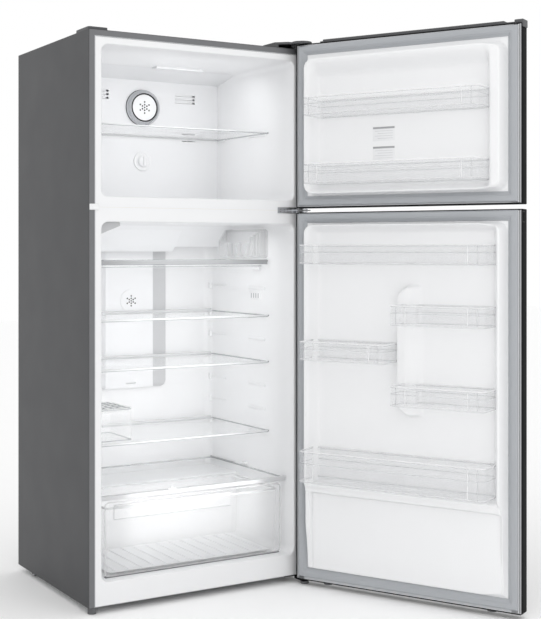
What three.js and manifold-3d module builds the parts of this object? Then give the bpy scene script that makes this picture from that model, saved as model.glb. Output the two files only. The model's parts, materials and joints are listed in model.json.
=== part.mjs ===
// Top freezer refrigerator, an assembly of separate pieces, in millimetres, +Z up.
// The cabinet's own axes are X to the right, Y to the back and Z up; its middle plane is X = 0,
// its front plane is Y = 0 and the floor is Z = 0. Both doors stand open at rest.
import * as THREE from 'three';
import { mergeVertices } from 'three/addons/utils/BufferGeometryUtils.js';
import Module from 'manifold-3d';

const wasm = await Module();
wasm.setup();

// ---- driving dimensions -------------------------------------------------------------------
const GAP = 0.3;                        // clearance between touching pieces
const SHEET = 2;                        // sheet and liner thickness
const CAB = { width: 750, depth: 596, bottom: 20, top: 1715 };
const HALF = CAB.width / 2;
const FLANGE = 20;                      // width of the steel front flange
const OPENING = { half: 334, radius: 18 };
const FREEZER = { bottom: 1226, top: 1675, back: 545, coverFace: 487 };
const FRESH = { bottom: 90, top: 1151, back: 545 };
const DRAFT = 12 / 545;                 // lean of the compartments' side walls, narrower at the back
const SPLIT = 1194;                     // height of the middle hinge, between the two doors
const MACHINE = { front: 395, top: 262, wall: 35 };   // compressor space at the bottom rear
const HINGE = { x: 355, y: -34, pin: 5, hole: 5.8 };
const OPEN_ANGLE = THREE.MathUtils.degToRad(117);
const DOOR = { hingeSide: 20, reach: 732, outer: -28, rim: 22, gasketFace: 32.5, dyke: 59 };
const FREEZER_DOOR = { bottom: 1201, top: 1724, seal: [1208, 1717], block: [1237, 1668] };
const FRESH_DOOR = { bottom: 16, top: 1187, seal: [29, 1184], block: [104, 1144] };
const GASKET = { near: -8, far: 722, width: 28 };     // measured from the hinge axis
const BLOCK = { near: 28, far: 682, radius: 28 };     // raised block of the door liner
const BIN_FRONT = 134;                  // how far a door bin reaches inwards from the axis
const SHELF = { half: 332.8, front: 146, back: 524, plate: 5 };
const SHELF_LEVELS = [852, 699, 470];
const RIB_LEVELS = [948, 852, 778, 699, 624, 546, 470];
const CRISPER = { front: 40, top: 329 };
const VENT = { x: 28, z: 1554, outer: 61, inner: 53, disc: 47, hole: 43 };
const FOOT_RADIUS = 13.3;
const DRAWER = { bottom: 92, top: 315, half: 308 };
const ORIGIN = { x: 168, y: -42 };      // middle of the footprint with both doors open

// ---- materials ----------------------------------------------------------------------------
const paint = (color, roughness, metalness) => new THREE.MeshStandardMaterial({
  color, roughness, metalness,
});
const greySteel = paint(0x66676a, 0.42, 0.5);
const darkSteel = paint(0x2c2d30, 0.4, 0.6);
const blackGlass = paint(0x121316, 0.12, 0.1);
const zincSteel = paint(0xa9abad, 0.38, 0.8);
const chrome = paint(0xb9bcc0, 0.15, 1);
const whitePlastic = paint(0xf2f2f3, 0.35, 0);
const greyPlastic = paint(0xa9abae, 0.45, 0);
const darkPlastic = paint(0x2b2c2e, 0.5, 0);
const clearPlastic = paint(0xe6ebee, 0.12, 0);
const shelfGlass = paint(0xdfe7e8, 0.06, 0);
const gasketRubber = paint(0xacafb3, 0.6, 0);
const foam = paint(0xe3d3a0, 0.9, 0);
const finAluminium = paint(0xc3c6c9, 0.35, 0.9);
const compressorPaint = paint(0x17181a, 0.4, 0.4);

// ---- shape helpers ------------------------------------------------------------------------
function solid(geometry) {
  const bare = geometry.index ? geometry.toNonIndexed() : geometry.clone();
  bare.deleteAttribute('normal');
  bare.deleteAttribute('uv');
  const merged = mergeVertices(bare, 1e-4);
  const index = merged.index.array;
  const kept = [];
  for (let i = 0; i < index.length; i += 3) {
    const [a, b, c] = [index[i], index[i + 1], index[i + 2]];
    if (a !== b && b !== c && c !== a) kept.push(a, b, c);
  }
  return new wasm.Manifold(new wasm.Mesh({
    numProp: 3,
    vertProperties: new Float32Array(merged.attributes.position.array),
    triVerts: new Uint32Array(kept),
  }));
}

function toGeometry(manifold) {
  const result = manifold.getMesh();
  const geometry = new THREE.BufferGeometry();
  geometry.setAttribute('position', new THREE.BufferAttribute(result.vertProperties, 3));
  geometry.setIndex(new THREE.BufferAttribute(result.triVerts, 1));
  return geometry;
}

const join = (...parts) => parts.map((p) => (p.getMesh ? p : solid(p)))
  .reduce((whole, part) => whole.add(part));
const cut = (body, ...tools) => tools.map((t) => (t.getMesh ? t : solid(t)))
  .reduce((rest, tool) => rest.subtract(tool), body.getMesh ? body : solid(body));

function block(x, y, z) {
  const geometry = new THREE.BoxGeometry(x[1] - x[0], y[1] - y[0], z[1] - z[0]);
  return geometry.translate((x[0] + x[1]) / 2, (y[0] + y[1]) / 2, (z[0] + z[1]) / 2);
}

function outline(points) {
  return new THREE.Shape(points.map(([u, v]) => new THREE.Vector2(u, v)));
}

function rounded(u, v, radius) {
  const shape = new THREE.Shape();
  const quarter = Math.PI / 2;
  shape.moveTo(u[0] + radius, v[0]);
  shape.lineTo(u[1] - radius, v[0]);
  shape.absarc(u[1] - radius, v[0] + radius, radius, -quarter, 0);
  shape.lineTo(u[1], v[1] - radius);
  shape.absarc(u[1] - radius, v[1] - radius, radius, 0, quarter);
  shape.lineTo(u[0] + radius, v[1]);
  shape.absarc(u[0] + radius, v[1] - radius, radius, quarter, 2 * quarter);
  shape.lineTo(u[0], v[0] + radius);
  shape.absarc(u[0] + radius, v[0] + radius, radius, 2 * quarter, 3 * quarter);
  return shape;
}

// A shape's two axes and the direction it is extruded in, for each way a section can lie.
const ALONG = {
  x: [[0, 1, 0], [0, 0, 1], [1, 0, 0]],
  y: [[0, 0, 1], [1, 0, 0], [0, 1, 0]],
  z: [[1, 0, 0], [0, 1, 0], [0, 0, 1]],
};

// Along x a section is drawn in (y, z), along y in (z, x) and along z in (x, y).
function extrude(shape, axis, from, to, curveSegments = 4) {
  const geometry = new THREE.ExtrudeGeometry(shape, {
    depth: to - from, bevelEnabled: false, curveSegments, steps: 1,
  });
  const [u, v, w] = ALONG[axis].map((direction) => new THREE.Vector3(...direction));
  geometry.applyMatrix4(new THREE.Matrix4().makeBasis(u, v, w));
  return geometry.translate(...ALONG[axis][2].map((part) => part * from));
}

// A cylinder between two heights along an axis, centred on the other two coordinates.
function rod(axis, centre, radius, from, to, sides = 20) {
  const geometry = new THREE.CylinderGeometry(radius, radius, to - from, sides);
  const middle = (from + to) / 2;
  if (axis === 'x') geometry.rotateZ(Math.PI / 2).translate(middle, centre[0], centre[1]);
  if (axis === 'y') geometry.translate(centre[0], middle, centre[1]);
  if (axis === 'z') geometry.rotateX(Math.PI / 2).translate(centre[0], centre[1], middle);
  return geometry;
}

// A ring or knob turned about the Y axis: the profile is a list of [radius, y].
function turned(profile, centre, sides = 32) {
  const points = profile.map(([radius, y]) => new THREE.Vector2(radius, y));
  return new THREE.LatheGeometry(points, sides).translate(centre[0], 0, centre[1]);
}

// A closed outline moved inwards by a distance, for the inside of a wall.
function inset(points, distance) {
  return points.map((point, i) => {
    const before = points[(i + points.length - 1) % points.length];
    const after = points[(i + 1) % points.length];
    const normal = (from, to) => {
      const run = [to[0] - from[0], to[1] - from[1]];
      const length = Math.hypot(...run);
      return [-run[1] / length, run[0] / length];
    };
    const [n1, n2] = [normal(before, point), normal(point, after)];
    const scale = distance / (1 + n1[0] * n2[0] + n1[1] * n2[1]);
    return [point[0] + (n1[0] + n2[0]) * scale, point[1] + (n1[1] + n2[1]) * scale];
  });
}

// An open-topped box: a counter-clockwise outline in (x, y), a floor and walls.
function tub(points, z, wall, floor = wall) {
  const outside = extrude(outline(points), 'z', z[0], z[1]);
  const inside = extrude(outline(inset(points, wall)), 'z', z[0] + floor, z[1] + 1);
  return cut(outside, inside);
}

// Narrows a piece drawn between upright side walls, so that it follows their lean.
function drafted(geometry) {
  const position = geometry.attributes.position;
  for (let i = 0; i < position.count; i += 1) {
    const narrowing = 1 - DRAFT * position.getY(i) / OPENING.half;
    position.setX(i, position.getX(i) * narrowing);
  }
  return geometry;
}

const rectangle = (x, y) => [[x[0], y[0]], [x[1], y[0]], [x[1], y[1]], [x[0], y[1]]];

const refrigerator = new THREE.Group();
const cabinet = new THREE.Group();
refrigerator.add(cabinet);
refrigerator.position.set(-ORIGIN.x, -ORIGIN.y, 0);

function piece(group, name, shape, material) {
  const geometry = shape.getMesh ? toGeometry(shape) : shape;
  const mesh = new THREE.Mesh(geometry, material);
  mesh.name = name;
  group.add(mesh);
  return mesh;
}

// ---- cabinet: steel, foam and liners ------------------------------------------------------
function buildShell() {
  const span = [-HALF, HALF];
  const sides = cut(
    block(span, [0, CAB.depth], [CAB.bottom, CAB.top]),
    block([-HALF + SHEET, HALF - SHEET], [-1, CAB.depth + 1], [CAB.bottom - 1, CAB.top - SHEET]),
  );
  const flange = cut(
    block([-HALF + 1, HALF - 1], [0, SHEET], [CAB.bottom, CAB.top - 1]),
    block([-HALF + FLANGE, HALF - FLANGE], [-1, SHEET + 1], [CAB.bottom - 1, CAB.top - FLANGE]),
  );
  piece(cabinet, 'cabinet_shell', join(sides, flange), greySteel);
}

const INNER = HALF - SHEET - GAP;       // half width inside the steel sides
const REAR = CAB.depth - GAP - SHEET;   // front face of the rear panels
const TRAY_TOP = CAB.bottom + GAP + SHEET;
const COVER_TOP = MACHINE.top - 4;

function buildRear() {
  const panelBottom = MACHINE.top + 1;
  const ribs = [-220, 0, 220].map((x) => block(
    [x - 30, x + 30], [REAR - 3, REAR + 1], [panelBottom + 60, CAB.top - 80],
  ));
  const sheet = block([-INNER, INNER], [REAR, REAR + SHEET], [panelBottom, CAB.top - SHEET - GAP]);
  piece(cabinet, 'rear_panel', join(sheet, ...ribs), zincSteel);

  const slots = [];
  for (const x of [-255, -85, 85, 255]) {
    for (let row = 0; row < 6; row += 1) {
      const z = 70 + row * 28;
      slots.push(block([x - 55, x + 55], [REAR - 1, REAR + SHEET + 1], [z, z + 8]));
    }
  }
  const cover = block([-INNER, INNER], [REAR, REAR + SHEET], [TRAY_TOP + GAP, COVER_TOP]);
  piece(cabinet, 'compressor_cover', cut(cover, ...slots), darkPlastic);
  const inlet = join(
    block([-300, -262], [REAR + SHEET + GAP, REAR + SHEET + 10], [216, 244]),
    rod('y', [-281, 230], 6, REAR + SHEET + 5, REAR + SHEET + 16),
  );
  piece(cabinet, 'power_inlet', inlet, darkPlastic);
}

const ROLLER = { x: 350, y: 500, radius: 10, half: 7, axle: 3 };
const LEFT_FOOT = { x: -358, y: 17 };

function buildTray() {
  let tray = solid(block([-INNER, INNER], [2.6, REAR - GAP], [CAB.bottom + GAP, TRAY_TOP]));
  for (const side of [-1, 1]) {
    for (const offset of [-1, 1]) {
      const x = side * ROLLER.x + offset * (ROLLER.half + 2);
      const lug = cut(
        block([x - 1, x + 1], [ROLLER.y - 12, ROLLER.y + 12], [5, CAB.bottom + 1]),
        rod('x', [ROLLER.y, ROLLER.radius], ROLLER.axle + GAP, x - 2, x + 2, 12),
      );
      tray = tray.add(lug);
    }
  }
  const stemHole = rod('z', [LEFT_FOOT.x, LEFT_FOOT.y], 6, CAB.bottom - 1, TRAY_TOP + 1, 16);
  piece(cabinet, 'base_tray', cut(tray, stemHole), zincSteel);
}

function buildRunningGear() {
  for (const [name, side] of [['rear_roller_left', -1], ['rear_roller_right', 1]]) {
    const x = side * ROLLER.x;
    const centre = [ROLLER.y, ROLLER.radius];
    const wheel = rod('x', centre, ROLLER.radius, x - ROLLER.half, x + ROLLER.half, 24);
    const axle = rod('x', centre, ROLLER.axle, x - 12, x + 12, 12);
    piece(cabinet, name, join(wheel, axle), darkPlastic);
  }
  const leftFoot = join(
    rod('z', [LEFT_FOOT.x, LEFT_FOOT.y], FOOT_RADIUS, 0, CAB.bottom, 24),
    rod('z', [LEFT_FOOT.x, LEFT_FOOT.y], 5, CAB.bottom - 1, 52, 12),
  );
  piece(cabinet, 'front_foot_left', leftFoot, greyPlastic);
  const rightFoot = rod('z', [HINGE.x - 2, HINGE.y], FOOT_RADIUS, 0, 9.5, 24);
  piece(cabinet, 'front_foot_right', rightFoot, greyPlastic);
}

// The space inside a liner, or the outside of that liner when it is grown by its thickness.
function freezerSpace(grow, front = -1) {
  const z = [FREEZER.bottom - grow, FREEZER.top + grow];
  const x = [-OPENING.half - grow, OPENING.half + grow];
  const section = rounded(z, x, OPENING.radius + grow);
  return solid(drafted(extrude(section, 'y', front, FREEZER.back + grow)));
}

const STEP = { y: MACHINE.front - MACHINE.wall, z: MACHINE.top + MACHINE.wall };

function freshSpace(grow, front = -1) {
  const z = [FRESH.bottom - grow, FRESH.top + grow];
  const x = [-OPENING.half - grow, OPENING.half + grow];
  const section = rounded(z, x, OPENING.radius + grow);
  const whole = drafted(extrude(section, 'y', front, FRESH.back + grow));
  const step = block([-HALF, HALF], [STEP.y + grow, CAB.depth], [0, STEP.z - grow]);
  return cut(whole, step);
}

function buildFoam() {
  const body = block([-INNER, INNER], [5, REAR - GAP - 3], [TRAY_TOP + GAP, CAB.top - SHEET - GAP]);
  const machine = block([-HALF, HALF], [MACHINE.front, CAB.depth], [0, MACHINE.top]);
  const stem = rod('z', [LEFT_FOOT.x, LEFT_FOOT.y], 7, 0, 56, 16);
  const clear = SHEET + GAP;
  const filled = cut(body, machine, stem, freezerSpace(clear), freshSpace(clear));
  piece(cabinet, 'cabinet_foam', filled, foam);
}

const RIB = { front: [170, 275], rear: [505, 543], proud: 3, height: 5 };

// Support ribs for one shelf level, on both side walls.
function shelfRibs(level) {
  const z = [level - SHELF.plate - GAP - RIB.height, level - SHELF.plate - GAP];
  return [RIB.front, RIB.rear].flatMap((y) => [
    drafted(block([-OPENING.half - 1, -OPENING.half + RIB.proud], y, z)),
    drafted(block([OPENING.half - RIB.proud, OPENING.half + 1], y, z)),
  ]);
}

function buildLiners() {
  const wide = [-HALF + FLANGE + GAP, HALF - FLANGE - GAP];
  const frame = (low, high) => block(wide, [GAP, GAP + SHEET], [low, high]);
  const freezerLiner = cut(
    join(frame(SPLIT + GAP, CAB.top - FLANGE - GAP), freezerSpace(SHEET, GAP)),
    freezerSpace(0),
  );
  piece(cabinet, 'freezer_liner', join(freezerLiner, ...shelfRibs(FREEZER_SHELF.top)), whitePlastic);
  const freshLiner = cut(
    join(frame(TRAY_TOP + GAP, SPLIT), freshSpace(SHEET, GAP)),
    freshSpace(0),
  );
  piece(cabinet, 'fridge_liner', join(freshLiner, ...RIB_LEVELS.flatMap(shelfRibs)), whitePlastic);
}

// ---- freezer compartment ------------------------------------------------------------------
const FREEZER_SHELF = { front: 149, back: 484, top: 1458 };
const BEVEL = { front: 356, bottom: 1648 };
const WIDE = OPENING.half - GAP;

function buildEvaporatorCover() {
  const wall = 3;
  const face = FREEZER.coverFace;
  const low = FREEZER.bottom + GAP;
  const high = FREEZER.top - GAP;
  const section = outline([
    [face, low], [face + wall, low], [face + wall, BEVEL.bottom + 1.2],
    [BEVEL.front + 12, high], [BEVEL.front, high], [face, BEVEL.bottom],
  ]);
  // The rounded corners of the liner are kept clear by trimming to the liner's own section.
  const sheet = solid(extrude(section, 'x', -WIDE, WIDE)).intersect(freezerSpace(-GAP));
  const vent = rod('y', [VENT.x, VENT.z], VENT.hole, face - 1, face + wall + 1, 32);
  const slot = (x, z, width, height) => block(
    [x - width / 2, x + width / 2], [face - 1, face + wall + 1], [z, z + height],
  );
  const louvres = [-164, 164].flatMap((offset) => [1578, 1590, 1602]
    .map((z) => slot(VENT.x + offset, z, 78, 6)));
  const returns = [1446, 1470].map((z) => slot(VENT.x + 178, z, 52, 5));
  piece(cabinet, 'evaporator_cover', cut(sheet, vent, ...louvres, ...returns), whitePlastic);

  const ring = turned([
    [VENT.outer, face - GAP], [VENT.inner, face - GAP], [VENT.inner, face - 20],
    [VENT.outer - 5, face - 20], [VENT.outer, face - 12], [VENT.outer, face - GAP],
  ], [VENT.x, VENT.z]);
  piece(cabinet, 'vent_ring', ring, chrome);
  const legs = [0, 1, 2].map((i) => {
    const angle = Math.PI / 2 + i * 2 * Math.PI / 3;
    const reach = (VENT.disc + VENT.hole) / 2;
    const centre = [VENT.x + reach * Math.cos(angle), VENT.z + reach * Math.sin(angle)];
    return rod('y', centre, 1.1, face - 12, face - GAP, 8);
  });
  const disc = rod('y', [VENT.x, VENT.z], VENT.disc, face - 15, face - 11, 32);
  piece(cabinet, 'vent_disc', join(disc, ...legs), whitePlastic);
}

const KNOB = { x: VENT.x, z: 1371, radius: 33 };
const TRIM_INSET = 6;                   // how far a shelf's trims stop short of its ends

// A shelf's plate or trim: a block from wall to wall, less an inset at each end.
const wide = (inset, y, z) => drafted(block([-SHELF.half + inset, SHELF.half - inset], y, z));

function buildFreezerParts() {
  const face = FREEZER.coverFace;
  const dial = rod('y', [KNOB.x, KNOB.z], KNOB.radius, face - 5, face - GAP, 28);
  const hub = rod('y', [KNOB.x, KNOB.z], 20, face - 16, face - 4, 20);
  const grip = block([KNOB.x - 3, KNOB.x + 3], [face - 20, face - 15], [KNOB.z - 18, KNOB.z + 18]);
  piece(cabinet, 'freezer_control_knob', join(dial, hub, grip), whitePlastic);

  const lens = block([0, 174], [318, 352], [FREEZER.top - 7, FREEZER.top - GAP]);
  piece(cabinet, 'freezer_light_lens', lens, clearPlastic);

  const teeth = [];
  const fins = 22;
  const pitch = 500 / fins;
  for (let i = 0; i < fins; i += 1) {
    const x = -250 + i * pitch;
    teeth.push([x, 1470], [x + pitch / 4, 1470], [x + pitch / 4, 1262], [x + pitch, 1262]);
  }
  const comb = outline([[-250, 1255], ...teeth, [250, 1255]].map(([x, z]) => [z, x]));
  piece(cabinet, 'evaporator_coil', extrude(comb, 'y', 500, 536), finAluminium);

  const hubFan = rod('y', [VENT.x, VENT.z], 16, 500, 522, 20);
  const blades = [0, 1, 2, 3, 4].map((i) => {
    const blade = new THREE.BoxGeometry(30, 3, 24);
    blade.rotateX(THREE.MathUtils.degToRad(32));
    blade.translate(28, 511, 0);
    blade.rotateY(i * 2 * Math.PI / 5);
    return blade.translate(VENT.x, 0, VENT.z);
  });
  piece(cabinet, 'evaporator_fan', join(hubFan, ...blades), darkPlastic);

  const { front, back, top } = FREEZER_SHELF;
  const shelf = join(
    wide(0, [front, back], [top - SHELF.plate, top]),
    wide(TRIM_INSET, [front - 4, front + 5], [top - 7, top + 2]),
    wide(TRIM_INSET, [back - 6, back + 2], [top - 7, top + 4]),
  );
  piece(cabinet, 'freezer_shelf', shelf, shelfGlass);
}

// ---- fresh food compartment ---------------------------------------------------------------
const LAMP = { x: [303, OPENING.half], y: [152, 430], z: [1041, 1136] };

function buildAirDucts() {
  const upper = outline([[370, 1150.7], [452, 1078], [544.7, 1078], [544.7, 1150.7]]);
  const lower = outline([[385, 1138], [456, 1062], [544.7, 1062], [544.7, 1138]]);
  const whole = solid(extrude(upper, 'x', -WIDE, WIDE));
  const left = solid(extrude(lower, 'x', -WIDE, 130));
  const lampNotch = block([LAMP.x[0] - 2, HALF], [340, LAMP.y[1] + 1], [1000, LAMP.z[1] + 1]);
  const cover = cut(whole.add(left).intersect(freshSpace(-GAP)), lampNotch);
  piece(cabinet, 'air_duct_cover', cover, whitePlastic);

  const panel = { x: [-90, 88], y: [528, 544.7], z: [592, 1061.5], slope: 14 };
  const section = outline([
    [panel.x[0] - panel.slope, panel.y[1]], [panel.x[0], panel.y[0]],
    [panel.x[1], panel.y[0]], [panel.x[1], panel.y[1]],
  ]);
  const emblem = rod('y', [4, 892], 40, 525, 529, 32);
  const slot = block([-16, 22], [524, 534], [606, 610]);
  const body = join(extrude(section, 'z', ...panel.z), emblem);
  piece(cabinet, 'duct_panel', cut(body, slot), whitePlastic);
  const trim = outline([
    [panel.z[0], 88 + GAP], [panel.z[1], 88 + GAP], [panel.z[1], 140],
    [panel.z[0] + 18, 140], [panel.z[0] + 5, 134], [panel.z[0], 122],
  ]);
  piece(cabinet, 'duct_side_trim', extrude(trim, 'y', 534, 544.7), greyPlastic);
}

function buildLights() {
  const lens = extrude(rounded(LAMP.y, LAMP.z, 12), 'x', LAMP.x[0], LAMP.x[1], 3);
  const inside = freshSpace(-GAP);
  piece(cabinet, 'side_lamp_lens', solid(lens).intersect(inside), clearPlastic);
  const housing = outline([
    [1112, -OPENING.half], [1136, -OPENING.half], [1150.5, -319], [1150.5, -262], [1140, -262],
  ]);
  const wedge = solid(extrude(housing, 'y', 30, 100));
  piece(cabinet, 'control_housing', wedge.intersect(inside), greyPlastic);
}

function glassShelf(name, top) {
  const shelf = join(
    wide(0, [SHELF.front, SHELF.back], [top - SHELF.plate, top]),
    wide(TRIM_INSET, [SHELF.front - 4, SHELF.front + 6], [top - 8, top + 2]),
    wide(TRIM_INSET, [SHELF.back - 8, SHELF.back], [top - 7, top + 8]),
  );
  piece(cabinet, name, shelf, shelfGlass);
}

function buildShelves() {
  const top = 1037;
  const chiller = join(
    wide(0, [SHELF.front + 4, 480], [top - 8, top - 3]),
    wide(TRIM_INSET, [SHELF.front, SHELF.front + 10], [top - 12, top]),
    wide(TRIM_INSET, [184, 190], [top - 24, top - 5]),
  );
  piece(cabinet, 'fridge_shelf_1', chiller, shelfGlass);
  SHELF_LEVELS.forEach((level, i) => glassShelf(`fridge_shelf_${i + 2}`, level));

  const { front } = CRISPER;
  const above = CRISPER.top;
  const cover = join(
    wide(0, [front + 6, SHELF.back], [above - 6, above]),
    wide(3, [front, front + 20], [above - 9, above + 4]),
  );
  const track = block([-96, -26], [front + 5, front + 15], [above + 1, above + 5]);
  piece(cabinet, 'crisper_cover', cut(cover, track), shelfGlass);
  const slider = join(
    block([-94, -64], [front + 6, front + 14], [above + 1.4, above + 6]),
    block([-82, -76], [front + 7, front + 13], [above + 5, above + 10]),
  );
  piece(cabinet, 'humidity_slider', slider, whitePlastic);
}

function buildDrawer() {
  const { bottom, top, half } = DRAWER;
  const { front } = CRISPER;
  const bin = tub(rectangle([6 - half, half - 6], [front + 4, STEP.y - 8]), [bottom + 1, 296], 3);
  const face = extrude(rounded([bottom, top], [-half, half], 14), 'y', front, front + 5);
  const grip = block([-283, 117], [front - 1, front + 6], [262, 300]);
  const lip = block([-283, 117], [front - 7, front + 2], [300, 306]);
  piece(cabinet, 'crisper_drawer', join(cut(join(bin, face), grip), lip), clearPlastic);

  const x = [-320, -150];
  const y = [182, 356];
  const wider = (span, by) => [span[0] - by, span[1] + by];
  const floor = SHELF_LEVELS[2] + GAP;
  const rimTop = floor + 104;
  piece(cabinet, 'storage_box', tub(rectangle(x, y), [floor, floor + 100], 2.5), clearPlastic);
  const tray = tub(rectangle(wider(x, -3.5), wider(y, -3.5)), [floor + 66, rimTop], 2);
  const rim = cut(
    block(wider(x, 0.5), wider(y, 0.5), [floor + 100 + GAP, rimTop]),
    block(wider(x, -4), wider(y, -4), [floor + 90, rimTop + 1]),
  );
  piece(cabinet, 'egg_tray', join(tray, rim), clearPlastic);
}

// ---- compressor space ---------------------------------------------------------------------
function buildMachine() {
  const dome = [
    [0, 36], [62, 36], [78, 52], [80, 90], [80, 132], [70, 160], [46, 178], [0, 184],
  ].map(([radius, z]) => new THREE.Vector2(radius, z));
  const shell = new THREE.LatheGeometry(dome, 28).rotateX(Math.PI / 2).translate(190, 494, 0);
  const feet = [-1, 1].map((side) => block(
    [190 + side * 60 - 22, 190 + side * 60 + 22], [430, 558], [TRAY_TOP + GAP, 42],
  ));
  piece(cabinet, 'compressor', join(shell, ...feet), compressorPaint);

  const teeth = [];
  const plates = 18;
  const pitch = 270 / plates;
  for (let i = 0; i < plates; i += 1) {
    const x = -330 + i * pitch;
    teeth.push([x, 190], [x + pitch / 4, 190], [x + pitch / 4, 48], [x + pitch, 48]);
  }
  const base = TRAY_TOP + GAP;
  const comb = outline([[-330, base], ...teeth, [-60, base]].map(([x, z]) => [z, x]));
  piece(cabinet, 'condenser_coil', extrude(comb, 'y', 420, 560), compressorPaint);
}

// ---- hinges -------------------------------------------------------------------------------
function buildHinges() {
  const pinAt = [HINGE.x, HINGE.y];
  const topSkin = FREEZER_DOOR.top;
  const low = CAB.top + GAP;
  const topBracket = join(
    block([282, 368], [14, 74], [low, low + 3]),
    block([334, 368], [12, 16], [low, topSkin + 4.5]),
    block([334, 368], [HINGE.y - 12, 16], [topSkin + 1.5, topSkin + 4.5]),
    rod('z', pinAt, HINGE.pin, topSkin - 16, topSkin + 3),
  );
  piece(cabinet, 'top_hinge', topBracket, zincSteel);

  const roof = CAB.top + 17;
  const bow = new THREE.Shape();
  bow.moveTo(268, 84);
  bow.lineTo(268, 10);
  bow.lineTo(300, -20);
  bow.absarc(HINGE.x - 12, HINGE.y, 32, Math.PI * 0.87, Math.PI * 1.5);
  bow.absarc(HINGE.x - 12, HINGE.y, 32, Math.PI * 1.5, Math.PI * 2);
  bow.lineTo(375, 0);
  bow.lineTo(375, 84);
  const inner = new THREE.Shape();
  inner.moveTo(272, 80);
  inner.lineTo(272, 12);
  inner.lineTo(303, -17);
  inner.absarc(HINGE.x - 12, HINGE.y, 28.5, Math.PI * 0.87, Math.PI * 1.5);
  inner.absarc(HINGE.x - 12, HINGE.y, 28.5, Math.PI * 1.5, Math.PI * 2);
  inner.lineTo(371.5, 0);
  inner.lineTo(371.5, 80);
  const cover = cut(
    extrude(bow, 'z', low, roof),
    extrude(inner, 'z', low - 1, roof - 2.5),
    block([260, 380], [-80, 5], [low - 1, topSkin + 1]),
  );
  piece(cabinet, 'top_hinge_cover', cover, darkPlastic);

  const middle = join(
    block([272, 345], [-3.2, -GAP], [SPLIT - 9, SPLIT + 10]),
    block([318, 368], [HINGE.y - 12, -GAP], [SPLIT - 2, SPLIT + 2]),
    rod('z', pinAt, HINGE.pin, FRESH_DOOR.top - 15, FREEZER_DOOR.bottom + 15),
    rod('z', pinAt, 9, SPLIT - 5, SPLIT + 5),
  );
  piece(cabinet, 'middle_hinge', middle, chrome);

  const under = FRESH_DOOR.bottom - 6.2;
  const lower = join(
    block([300, 368], [4, 60], [CAB.bottom - 3.2, CAB.bottom - GAP]),
    block([300, 368], [1, 4.5], [under, CAB.bottom - GAP]),
    block([318, 368], [HINGE.y - 14, 4], [under, under + 3.4]),
    rod('z', pinAt, HINGE.pin, under + 1, FRESH_DOOR.bottom + 14),
  );
  piece(cabinet, 'lower_hinge', lower, darkSteel);

  const dummy = extrude(rounded([-374, -311], [6, 104], 8), 'z', low, low + 8);
  piece(cabinet, 'left_hinge_cover', dummy, greySteel);
}

// ---- doors --------------------------------------------------------------------------------
// A door is drawn shut, in axes whose origin is its hinge axis: a distance from the axis runs
// along -X and depth runs along +Y, towards the cabinet.
const across = (near, far) => [-far, -near];

function doorSkin(door) {
  const { hingeSide, reach, outer, rim } = DOOR;
  const radius = 6;
  const wrap = new THREE.Shape();
  wrap.moveTo(-reach + radius, outer);
  wrap.lineTo(hingeSide - radius, outer);
  wrap.absarc(hingeSide - radius, outer + radius, radius, -Math.PI / 2, 0);
  wrap.lineTo(hingeSide, rim);
  wrap.lineTo(-reach, rim);
  wrap.lineTo(-reach, outer + radius);
  wrap.absarc(-reach + radius, outer + radius, radius, Math.PI, 1.5 * Math.PI);
  const hollow = block(
    [-reach + SHEET, hingeSide - SHEET], [outer + SHEET, rim + 1],
    [door.bottom + SHEET, door.top - SHEET],
  );
  const pinHoles = [door.bottom, door.top].map((z) => rod('z', [0, 0], HINGE.hole, z - 20, z + 20));
  return cut(extrude(wrap, 'z', door.bottom, door.top, 3), hollow, ...pinHoles);
}

// The foam fills the skin and the raised border of the liner.
function doorFoam(door, raised, hollow) {
  const { hingeSide, reach, outer, rim } = DOOR;
  const inside = SHEET + GAP;
  const slab = block(
    [-reach + inside, hingeSide - inside], [outer + SHEET + GAP, rim - SHEET - GAP],
    [door.bottom + inside, door.top - inside],
  );
  const clearPins = [door.bottom, door.top].map((z) => rod('z', [0, 0], 8, z - 24, z + 24));
  const border = cut(raised(-inside, DOOR.dyke - inside), hollow(inside, 0));
  return cut(join(slab, border), ...clearPins);
}

// The white inner panel: a flange and a raised border, hollow behind for the foam.
function doorLiner(door, raised, hollow) {
  const inside = SHEET + GAP;
  const { hingeSide, reach, rim } = DOOR;
  const flange = block(
    [-reach + inside, hingeSide - inside], [rim - SHEET, rim],
    [door.bottom + inside, door.top - inside],
  );
  const behind = block([-reach, hingeSide], [0, rim - SHEET], [0, CAB.top + 50]);
  const filled = cut(raised(-SHEET, DOOR.dyke - SHEET), hollow(SHEET, 0));
  return cut(join(flange, raised(0, DOOR.dyke)), behind, filled, hollow(0, rim));
}

function gasket(door) {
  const z = door.seal;
  const { near, far, width } = GASKET;
  const y = [DOOR.rim + GAP, DOOR.gasketFace];
  return cut(
    block(across(near, far), y, z),
    block(across(near + width, far - width), [0, 60], [z[0] + width, z[1] - width]),
  );
}

function doorBin(group, name, plan, z) {
  const points = plan.map(([a, depth]) => [-a, depth]).reverse();
  piece(group, name, tub(points, z, 2.5), clearPlastic);
}

// A block with rounded corners, standing up from inside the door to a given depth.
const ROOT = 12;
const pad = (near, far, z, depth, radius, from = ROOT) => solid(
  extrude(rounded(z, across(near, far), radius), 'y', from, depth),
);

function openDoor() {
  const door = new THREE.Group();
  door.position.set(HINGE.x, HINGE.y, 0);
  door.rotation.z = OPEN_ANGLE;
  refrigerator.add(door);
  return door;
}

const BIN_BACK = DOOR.rim + GAP;
const fullBin = (near, far) => [
  [near, BIN_BACK], [far, BIN_BACK], [far, BIN_FRONT - 10], [far - 8, BIN_FRONT],
  [near + 8, BIN_FRONT], [near, BIN_FRONT - 10],
];

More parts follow.
